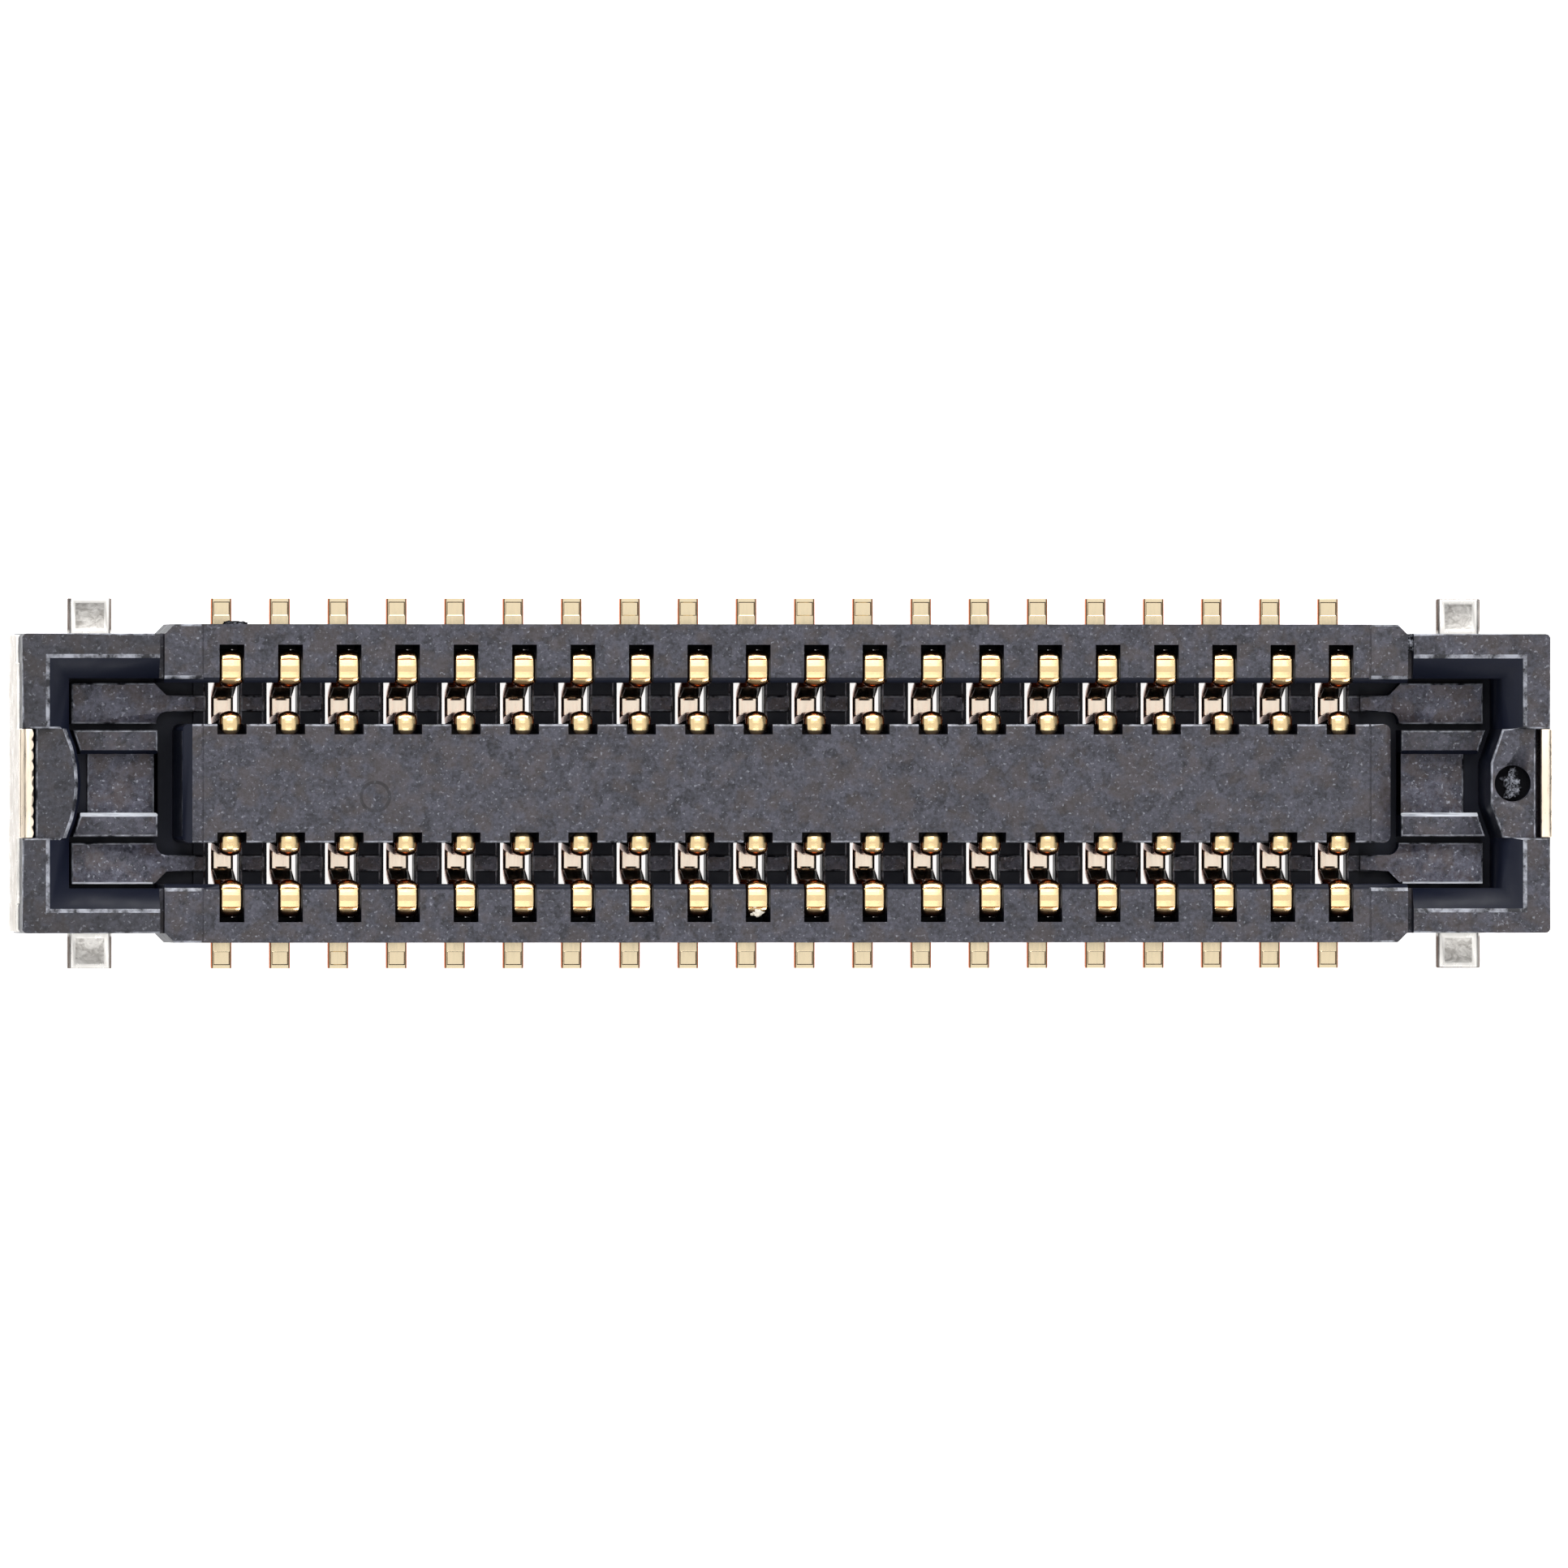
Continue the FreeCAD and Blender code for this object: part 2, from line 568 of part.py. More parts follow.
# Beds for the hold-downs, which the plastic is moulded round.
for side, sign, inwards in (("right", "", False), ("left", "-", True)):
    bed = add_sketch(housing, f"plate_bed_outline_{side}", "YZ_Plane", f"{sign}Line.end_face")
    draw(bed, [PLATE_OUTLINE])
    depth = "Line.end_face - Line.plate_inner"
    feature(housing, "Pocket", f"plate_bed_{side}", bed, depth, reversed_way=inwards)
bases = add_sketch(housing, "base_bed_outline", "XY_Plane", "Sizes.standoff")
draw(bases, both_ends(BASE_OUTLINE))
feature(housing, "Pocket", "base_beds", bases, f"{SHEET} - Sizes.standoff", reversed_way=True)

dimple = add_sketch(housing, "dimple_outline", "XY_Plane", "Sizes.block_top")
centre = FreeCAD.Vector(number("Line.end_face - Sizes.dimple_inset"), 0, 0)
dimple.addGeometry(Part.Circle(centre, UPRIGHT, sheet.dimple_radius), False)
pin(dimple, 0, 3, "Line.end_face - Sizes.dimple_inset", "0.0")
size = dimple.addConstraint(Sketcher.Constraint("Radius", 0, sheet.dimple_radius))
dimple.setExpression(f"Constraints[{size}]", "Sizes.dimple_radius")
feature(housing, "Pocket", "dimple", dimple, "Sizes.dimple_depth")

# Fine parting lines of the mould's contact insert, over the rails and the island.
PARTING_NEAR = "Line.parting - Sizes.parting_width / 2"
PARTING_FAR = "Line.parting + Sizes.parting_width / 2"
partings = all_corners(block(PARTING_NEAR, PARTING_FAR, "Line.groove_side", "Line.rail_side"))
partings += both_ends(block(PARTING_NEAR, PARTING_FAR, "-Line.island_side", "Line.island_side"))
pocket(housing, "parting_lines", "Sizes.rail_top", "Sizes.rail_top - Sizes.parting_depth", partings)


def at_contact(half_width, y_low, y_high):
    """A rectangle in both rows, round the first contact of each."""
    first = "-Line.row_half"
    return both_rows(block(f"{first} - {half_width}", f"{first} + {half_width}", y_low, y_high))


# One contact's openings in both rows, repeated along the connector.
slot = pocket(housing, "rail_slot", "Sizes.rail_top", "0.0", at_contact(
    "Line.slot_half", "Line.groove_side - Sizes.groove_chamfer", "Line.slot_outer",
))
window = pocket(housing, "floor_window", "Sizes.rib_top", "0.0", at_contact(
    "Line.window_half", "Line.island_side", "Line.groove_side",
))
notch = pocket(housing, "island_notch", "Sizes.island_top", "Sizes.notch_floor", at_contact(
    "Line.notch_half", "Line.notch_back", "Line.rib_inner",
))
tail = pocket(housing, "tail_notch", THICK, "0.0", at_contact(
    "Sizes.contact_width / 2", "Line.leg_outer", "Line.tail_reach",
))

row = housing.newObject("PartDesign::LinearPattern", "contact_row")
row.Originals = [slot, window, notch, tail]
along = [item for item in housing.Origin.OriginFeatures if item.Role == "X_Axis"]
row.Direction = (along[0], [""])
row.Mode = "Spacing"
row.setExpression("Offset", "Sizes.contact_pitch")
row.setExpression("Occurrences", "Sizes.contacts_per_row")
housing.Tip = row
doc.recompute()


# The contacts and hold-downs in their places, as links to the two forms.

nodes = [housing]


def place(form, name, x, turned):
    """A copy of a form at x along the connector, turned round for the other side."""
    copy = doc.addObject("App::Link", name)
    copy.LinkedObject = form
    copy.Label = name
    copy.Placement.Rotation = FreeCAD.Rotation(UPRIGHT, 180 if turned else 0)
    copy.setExpression("Placement.Base.x", x)
    nodes.append(copy)


for index in range(int(sheet.contacts_per_row)):
    x = f"-Line.row_half + {index} * Sizes.contact_pitch"
    place(contact, f"contact_back_{index + 1:02d}", x, turned=False)
    place(contact, f"contact_front_{index + 1:02d}", x, turned=True)
place(hold_down, "hold_down_right", "0.0", turned=False)
place(hold_down, "hold_down_left", "0.0", turned=True)
doc.recompute()

for item in doc.Objects:
    if "Invalid" in item.State or "Error" in item.State:
        raise RuntimeError(f"{item.Name} did not build: {item.State}")
for node in nodes:
    if node.Shape.isNull() or not node.Shape.isValid() or len(node.Shape.Solids) != 1:
        raise RuntimeError(f"{node.Label} is not one valid solid")

os.makedirs("parts", exist_ok=True)
for node in nodes:
    node.Shape.exportStep(f"parts/{node.Label}.step")
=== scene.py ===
import math

import bmesh
import bpy
from mathutils import Matrix, Vector, noise


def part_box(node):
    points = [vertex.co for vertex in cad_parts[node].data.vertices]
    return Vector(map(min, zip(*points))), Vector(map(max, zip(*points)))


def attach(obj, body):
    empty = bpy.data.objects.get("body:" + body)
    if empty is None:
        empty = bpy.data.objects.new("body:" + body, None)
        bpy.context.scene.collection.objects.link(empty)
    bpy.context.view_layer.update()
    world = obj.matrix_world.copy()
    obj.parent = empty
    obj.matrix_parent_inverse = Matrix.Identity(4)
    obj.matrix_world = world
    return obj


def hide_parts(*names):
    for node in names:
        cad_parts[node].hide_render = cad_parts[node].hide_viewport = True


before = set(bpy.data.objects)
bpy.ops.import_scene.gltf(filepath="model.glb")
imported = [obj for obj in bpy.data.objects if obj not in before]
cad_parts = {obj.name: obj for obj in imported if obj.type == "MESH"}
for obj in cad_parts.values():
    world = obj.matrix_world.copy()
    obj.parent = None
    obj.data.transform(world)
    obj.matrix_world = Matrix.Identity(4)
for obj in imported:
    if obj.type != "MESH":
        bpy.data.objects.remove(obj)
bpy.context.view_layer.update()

bl_info = {
    "name": "Board to Board Socket",
    "version": (1, 0, 0),
    "blender": (4, 5, 0),
    "location": "View3D > Sidebar > Socket",
    "description": "Finished pieces, finishes and studio of a fine pitch board to board socket",
    "category": "Object",
}

# One millimetre in metres. Meshes are shaped in millimetres and scaled at the end,
# because the mesh operators round off lengths of a micrometre.
MM = 0.001
ROWS = (("back", 1), ("front", -1))
ENDS = (("right", 1), ("left", -1))


def linear(colour):
    """Linear red, green and blue of an sRGB hex colour."""
    channels = [int(colour[place:place + 2], 16) / 255 for place in (1, 3, 5)]
    return tuple(c / 12.92 if c <= 0.04045 else ((c + 0.055) / 1.055) ** 2.4 for c in channels)


def length_property(name, description, millimetres):
    """A length that the sidebar shows with its unit."""
    return bpy.props.FloatProperty(
        name=name, description=description, default=millimetres * MM, unit="LENGTH", precision=6,
    )


def colour_property(name, description, colour):
    """A colour swatch, given as sRGB hex."""
    return bpy.props.FloatVectorProperty(
        name=name, description=description, default=linear(colour), subtype="COLOR", size=3,
    )


class ContactSizes(bpy.types.PropertyGroup):
    """The bent strip, as in the CAD contact that it stands for."""

    thickness: length_property("Thickness", "Sheet of the strip", 0.07)
    width: length_property("Width", "Strip at the tail", 0.14)
    hump_width: length_property("Hump width", "Strip over the rail slot", 0.158)
    neck_width: length_property("Neck width", "Narrow inner leg", 0.085)
    dip_width: length_property("Dip width", "Lowest run of the strip", 0.15)
    nose_width: length_property("Nose width", "End of the curled tip", 0.08)
    tail_end: length_property("Tail end", "Tail's end from the middle", 1.26)
    leg_outer: length_property("Outer leg", "Outer face of the leg in the slot", 0.908)
    hump_inner: length_property("Inner leg", "Groove face of the inner leg", 0.650)
    hump_top: length_property("Hump top", "Top of the hump", 0.735)
    dip_height: length_property("Dip height", "Underside of the lowest run", 0.07)
    fall_height: length_property("Fall height", "Height of the inner leg's slope", 0.20)
    spring_foot: length_property("Spring foot", "Groove face of the spring at its foot", 0.46)
    spring_face: length_property("Spring face", "Groove face of the spring at its top", 0.498)
    tip_top: length_property("Tip top", "Top of the curl", 0.695)
    tip_bend: length_property("Tip bend", "Outside radius of the curl", 0.065)
    inside_bend: length_property("Inside bend", "Inside radius of the bends", 0.006)
    edge_round: length_property("Edge rounding", "Rounded edges of the strip", 0.016)
    crown: length_property("Crown", "Crowned face of hump and tip", 0.02)
    crease: length_property("Crease", "Fine creases beside the bends", 0.006)
    coin: length_property("Coined tail", "Depth of the coined field on the tail", 0.006)
    arch_angle: bpy.props.FloatProperty(
        name="Arch angle", description="Slope at each end of the arched hump and tip",
        default=math.radians(13), subtype="ANGLE",
    )
    fall_angle: bpy.props.FloatProperty(
        name="Fall angle", description="Slope of the inner leg's foot",
        default=math.radians(71), subtype="ANGLE",
    )
    nose_angle: bpy.props.FloatProperty(
        name="Nose angle", description="Last turn of the curled tip",
        default=math.radians(50), subtype="ANGLE",
    )


class HousingSizes(bpy.types.PropertyGroup):
    """Softened edges and small marks of the moulding."""

    edge_round: length_property("Edge rounding", "Radius of the moulded edges", 0.014)
    nose_bevel: length_property("Nose bevel", "Bevel along the left block's curved nose", 0.04)
    backing_top: length_property("Backing", "Plastic round the contacts' outer legs", 0.30)
    island_nose: length_property("Island nose", "Smooth strip at the island's left end", 0.07)
    recess_chamfer: length_property("Recess chamfer", "Chamfer beside the recesses", 0.026)
    window_lip: length_property("Window lip", "Lip on the left side of each window", 0.02)
    ridge: length_property("Flash ridge", "Fine ridge on the front ledges' outer edge", 0.012)


class HoldDownSizes(bpy.types.PropertyGroup):
    """Edges and coined faces of the folded sheet."""

    edge_round: length_property("Edge rounding", "Radius of the sheared edges", 0.01)
    leg_end: length_property("Leg end", "Part of each solder leg past the housing", 0.232)
    coin_inset: length_property("Coined border", "Border round each solder leg", 0.038)
    coin_depth: length_property("Coin depth", "Depth inside that border", 0.009)
    tongue_lean: length_property("Tongue lean", "Lean of each tongue's upper edge", 0.021)
    scallop: length_property("Scallop", "Waves of the left tongue's edge", 0.016)
    scallop_pitch: length_property("Scallop pitch", "Length of one wave", 0.075)


class Finishes(bpy.types.PropertyGroup):
    """Colours of the finishes."""

    matte: colour_property("Matte moulding", "Spark-eroded upper faces", "#191A22")
    haze: colour_property("Haze", "Pale grains in the matte faces", "#52525E")
    warm: colour_property("Warm patches", "Brownish patches in the matte faces", "#4A403C")
    # Dark colour of the polished walls, also given to deep floors as painted shade.
    polished: colour_property("Polished moulding", "Walls and slopes", "#131726")
    torn: colour_property("Torn gate", "Rough break in the dimple", "#0B0B0E")
    # Near-white painted highlight on the edges that face the back lamps.
    bright: colour_property("Painted highlight on edges", "Edges that face the back", "#E4E8F0")
    # Pale colour of rubbed wear, also painted on edges as a painted highlight.
    pale_wear_and_highlight: colour_property("Rubbed and highlit edges", "Pale edges of the moulding: rubbed wear and painted highlight", "#A6A9B4")
    gold: colour_property("Thin gold", "Plated tails of the contacts", "#F8E5C0")
    thick_gold: colour_property("Thick gold", "Humps and tips of the contacts", "#F9DBA6")
    nickel: colour_property("Nickel", "Bare nickel of the contacts' lowest run", "#FFEEDA")
    # Near-black painted shade for the slope of the inner leg.
    slope_shade: colour_property("Painted slope shade", "Painted shade on the slope above it", "#1E1A18")
    # Orange of the bare alloy, also painted on the steep bends as painted shade.
    shear: colour_property("Sheared alloy", "Bare sides of the strips, and painted shade on steep bends", "#B8652B")
    alloy: colour_property("Bare alloy", "Sheared edge of the tongues", "#FFEFD9")
    leg_side: colour_property("Leg sides", "Sheared sides of the solder legs", "#6B5D55")
    field: colour_property("Scratched field", "Coined field on the solder legs", "#A39E98")
    dull_tin: colour_property("Dull tin", "Outer faces of the end plates", "#A8A29B")
    tin: colour_property("Tin plating", "Plated faces of the hold-downs", "#F7F4EF")
    residue: colour_property("Residue", "Dried flux on one contact", "#E9DCC0")
    paper: colour_property("Floor", "Pale floor", "#FFFFFF")


class CameraSizes(bpy.types.PropertyGroup):
    """The view from above with a slight lean, and the frame it fills."""

    lean: bpy.props.FloatProperty(
        name="Lean", description="Camera's lean towards the left end",
        default=math.radians(6.7), subtype="ANGLE",
    )
    distance: length_property("Distance", "Camera to the connector", 290)
    view_width: length_property("View width", "Width of the picture at the board", 10.699)
    aim_x: length_property("Aim along", "Point on the board in the picture's middle", 0.066)
    aim_y: length_property("Aim across", "The same point across the connector", -0.004)


# Finishes

# Patterns are drawn on Object coordinates in millimetres, so the Scale of a texture, or its
# factor along an axis, is the number of its grains to a millimetre.

# Indexes of the colour sockets on a Mix node.
FACTOR, FIRST, SECOND, MIXED = 0, 6, 7, 2
POLYMER_IOR = 1.5


def add_node(tree, kind, inputs=(), **settings):
    """Adds a node with its settings, and values or links for its inputs."""
    node = tree.nodes.new(kind)
    for name, value in settings.items():
        setattr(node, name, value)
    for socket, value in dict(inputs).items():
        if isinstance(value, bpy.types.NodeSocket):
            tree.links.new(value, node.inputs[socket])
        else:
            node.inputs[socket].default_value = value
    return node


def new_material(name):
    """An empty node material and its tree."""
    material = bpy.data.materials.new(name)
    material.use_nodes = True
    material.node_tree.nodes.clear()
    return material, material.node_tree


def in_millimetres(tree, stretch=(1, 1, 1)):
    """Object coordinates in millimetres, times a factor along each axis."""
    place = add_node(tree, "ShaderNodeTexCoord")
    scale = [factor / MM for factor in stretch]
    mapped = add_node(tree, "ShaderNodeMapping", {"Vector": place.outputs["Object"], "Scale": scale})
    return mapped.outputs["Vector"]


def matte_moulding(colours):
    """Glass-filled liquid crystal polymer from a spark-eroded mould.

    The melt's flow leaves patches of 0.08 mm in slightly different greys, and the eroded skin
    has pits of 0.03 mm, which read as pale grains. The pockets' low faces are painted up to
    2.3 times paler, as painted light in their shade, and the left frame's top is painted
    darker, as painted shade. An ejector pin left a faint ring near the island's left end.
    """
    swirls, patches, pits, clouds, specks = 22, 13, 34, 7, 42
    pocket_level, platform_level = 0.25, 0.38
    tops_start, tops_level = 0.6, 0.7
    rail_end, frame_start = -4.2, -4.3
    ring_middle, ring_radius, ring_width = (-2.82, -0.09, 0), 0.098, 0.011
    material, tree = new_material("matte_moulded_polymer")
    place = in_millimetres(tree)

    # Grey patches and pits, brown clouds and pale specks.
    swirl = add_node(tree, "ShaderNodeTexNoise", {"Vector": place, "Scale": swirls, "Detail": 2})
    bent = add_node(tree, "ShaderNodeVectorMath", {
        0: swirl.outputs["Color"], 1: (0.08, 0.08, 0.08), 2: place,
    }, operation="MULTIPLY_ADD")
    patch = add_node(tree, "ShaderNodeTexVoronoi", {"Vector": bent.outputs[0], "Scale": patches})
    pit = add_node(tree, "ShaderNodeTexNoise", {
        "Vector": place, "Scale": pits, "Detail": 4, "Roughness": 0.7,
    })
    uneven = add_node(tree, "ShaderNodeMath", {
        0: patch.outputs["Color"], 1: 0.3, 2: pit.outputs["Fac"],
    }, operation="MULTIPLY_ADD")
    hazy = add_node(tree, "ShaderNodeMapRange", {
        "Value": uneven.outputs[0], "From Min": 0.42, "From Max": 0.88,
    })
    grey = add_node(tree, "ShaderNodeMix", {
        FACTOR: hazy.outputs[0], FIRST: (*colours.matte, 1), SECOND: (*colours.haze, 1),
    }, data_type="RGBA")
    cloud = add_node(tree, "ShaderNodeTexNoise", {"Vector": place, "Scale": clouds, "Detail": 4})
    brownish = add_node(tree, "ShaderNodeMapRange", {
        "Value": cloud.outputs["Fac"], "From Min": 0.46, "From Max": 0.62, "To Max": 0.45,
    })
    tinted = add_node(tree, "ShaderNodeMix", {
        FACTOR: brownish.outputs[0], FIRST: grey.outputs[MIXED], SECOND: (*colours.warm, 1),
    }, data_type="RGBA")
    speck = add_node(tree, "ShaderNodeTexNoise", {"Vector": place, "Scale": specks, "Detail": 2})
    pale = add_node(tree, "ShaderNodeMapRange", {
        "Value": speck.outputs["Fac"], "From Min": 0.62, "From Max": 0.74, "To Max": 0.5,
    })
    speckled = add_node(tree, "ShaderNodeMix", {
        FACTOR: pale.outputs[0], FIRST: tinted.outputs[MIXED], SECOND: (*colours.pale_wear_and_highlight, 1),
    }, data_type="RGBA")

    # Painted light on the low faces, and painted shade on the left frame's top.
    spot = add_node(tree, "ShaderNodeSeparateXYZ", {0: place})
    # Painted light: faces low in the pockets are brightened up to 2.3 times.
    low = add_node(tree, "ShaderNodeMapRange", {
        "Value": spot.outputs["Z"], "From Min": pocket_level, "From Max": platform_level,
        "To Min": 2.3, "To Max": 1.0,
    })
    left = add_node(tree, "ShaderNodeMapRange", {
        "Value": spot.outputs["X"], "From Min": rail_end, "From Max": frame_start, "To Max": 0.36,
    })
    high = add_node(tree, "ShaderNodeMapRange", {
        "Value": spot.outputs["Z"], "From Min": tops_start, "From Max": tops_level,
    })
    # Painted shade: the left frame's top is darkened by about a third.
    smooth = add_node(tree, "ShaderNodeMath", {
        0: left.outputs[0], 1: high.outputs[0],
    }, operation="MULTIPLY")
    painted_light_and_shade = add_node(tree, "ShaderNodeMath", {
        0: low.outputs[0], 1: smooth.outputs[0],
    }, operation="SUBTRACT")
    lit_and_shaded_colour = add_node(tree, "ShaderNodeVectorMath", {
        0: speckled.outputs[MIXED], "Scale": painted_light_and_shade.outputs[0],
    }, operation="SCALE")

    # The ejector pin's ring, worn away in places.
    flat = add_node(tree, "ShaderNodeVectorMath", {0: place, 1: (1, 1, 0)}, operation="MULTIPLY")
    reach = add_node(tree, "ShaderNodeVectorMath", {
        0: flat.outputs[0], 1: ring_middle,
    }, operation="DISTANCE")
    ring = add_node(tree, "ShaderNodeMath", {
        0: reach.outputs["Value"], 1: ring_radius, 2: ring_width,
    }, operation="COMPARE")
    worn = add_node(tree, "ShaderNodeMath", {
        0: ring.outputs[0], 1: cloud.outputs["Fac"],
    }, operation="MULTIPLY")
    marked = add_node(tree, "ShaderNodeMix", {
        FACTOR: worn.outputs[0], FIRST: lit_and_shaded_colour.outputs[0], SECOND: (*colours.torn, 1),
    }, data_type="RGBA")

    relief = add_node(tree, "ShaderNodeBump", {
        "Height": pit.outputs["Fac"], "Strength": 0.6, "Distance": 0.006 * MM,
    })
    surface = add_node(tree, "ShaderNodeBsdfPrincipled", {
        "Base Color": marked.outputs[MIXED], "Roughness": 0.52, "IOR": POLYMER_IOR,
        "Normal": relief.outputs["Normal"],
    })
    add_node(tree, "ShaderNodeOutputMaterial", {"Surface": surface.outputs[0]})
    return material


def polished_and_shaded_moulding(colours):
    """The same polymer from the mould's ground walls: smoother, and darker, partly as painted shade
    on walls and deep floors.
    """
    flow_lines = 9
    material, tree = new_material("polished_and_shaded_polymer")
    flow = add_node(tree, "ShaderNodeTexNoise", {
        "Vector": in_millimetres(tree), "Scale": flow_lines, "Detail": 4, "Roughness": 0.6,
    })
    relief = add_node(tree, "ShaderNodeBump", {
        "Height": flow.outputs["Fac"], "Strength": 0.35, "Distance": 0.005 * MM,
    })
    gloss = add_node(tree, "ShaderNodeMapRange", {
        "Value": flow.outputs["Fac"], "From Min": 0.3, "From Max": 0.7,
        "To Min": 0.34, "To Max": 0.5,
    })
    surface = add_node(tree, "ShaderNodeBsdfPrincipled", {
        "Base Color": (*colours.polished, 1), "Roughness": gloss.outputs[0], "IOR": POLYMER_IOR,
        "Specular IOR Level": 0.2, "Normal": relief.outputs["Normal"],
    })
    add_node(tree, "ShaderNodeOutputMaterial", {"Surface": surface.outputs[0]})
    return material


def painted_highlight_edge(colours):
    """Painted highlight: smooth edges that face the back, painted nearly white in streaks along
    them.
    """
    streaks = (5, 30, 30)
    material, tree = new_material("painted_highlight_polymer_edge")
    streak = add_node(tree, "ShaderNodeTexNoise", {
        "Vector": in_millimetres(tree, streaks), "Scale": 1, "Detail": 3, "Roughness": 0.6,
    })
    bright = add_node(tree, "ShaderNodeMapRange", {
        "Value": streak.outputs["Fac"], "From Min": 0.3, "From Max": 0.5,
    })
    colour = add_node(tree, "ShaderNodeMix", {
        FACTOR: bright.outputs[0], FIRST: (*colours.pale_wear_and_highlight, 1), SECOND: (*colours.bright, 1),
    }, data_type="RGBA")
    surface = add_node(tree, "ShaderNodeBsdfPrincipled", {
        "Base Color": colour.outputs[MIXED], "Roughness": 0.3, "IOR": POLYMER_IOR,
    })
    add_node(tree, "ShaderNodeOutputMaterial", {"Surface": surface.outputs[0]})
    return material


def torn_gate(colours):
    """The rough break where the gate was torn off: nearly black, with paler tips, no sheen."""
    shreds = 34
    foot, tips = 0.714, 0.732
    material, tree = new_material("torn_polymer_gate")
    place = in_millimetres(tree)
    shred = add_node(tree, "ShaderNodeTexNoise", {
        "Vector": place, "Scale": shreds, "Detail": 4, "Roughness": 0.7,
    })
    pale = add_node(tree, "ShaderNodeMapRange", {
        "Value": shred.outputs["Fac"], "From Min": 0.45, "From Max": 0.65, "To Max": 0.8,
    })
    spot = add_node(tree, "ShaderNodeSeparateXYZ", {0: place})
    raised = add_node(tree, "ShaderNodeMapRange", {
        "Value": spot.outputs["Z"], "From Min": foot, "From Max": tips,
    })
    pale_tips = add_node(tree, "ShaderNodeMath", {
        0: pale.outputs[0], 1: raised.outputs[0],
    }, operation="MULTIPLY")
    colour = add_node(tree, "ShaderNodeMix", {
        FACTOR: pale_tips.outputs[0], FIRST: (*colours.torn, 1), SECOND: (*colours.pale_wear_and_highlight, 1),
    }, data_type="RGBA")
    surface = add_node(tree, "ShaderNodeBsdfPrincipled", {
        "Base Color": colour.outputs[MIXED], "Roughness": 0.8, "IOR": POLYMER_IOR,
        "Specular IOR Level": 0.05,
    })
    add_node(tree, "ShaderNodeOutputMaterial", {"Surface": surface.outputs[0]})
    return material


def rubbed_and_highlit_edge(colours):
    """The moulding's edges, pale in places and dark between them: partly rubbed wear, partly painted
    highlight.
    """
    rubs = 11
    material, tree = new_material("rubbed_and_highlit_polymer_edge")
    rub = add_node(tree, "ShaderNodeTexNoise", {
        "Vector": in_millimetres(tree), "Scale": rubs, "Detail": 4, "Roughness": 0.65,
    })
    pale = add_node(tree, "ShaderNodeMapRange", {
        "Value": rub.outputs["Fac"], "From Min": 0.38, "From Max": 0.62,
    })
    colour = add_node(tree, "ShaderNodeMix", {
        FACTOR: pale.outputs[0], FIRST: (*colours.matte, 1), SECOND: (*colours.pale_wear_and_highlight, 1),
    }, data_type="RGBA")
    surface = add_node(tree, "ShaderNodeBsdfPrincipled", {
        "Base Color": colour.outputs[MIXED], "Roughness": 0.36, "IOR": POLYMER_IOR,
    })
    add_node(tree, "ShaderNodeOutputMaterial", {"Surface": surface.outputs[0]})
    return material


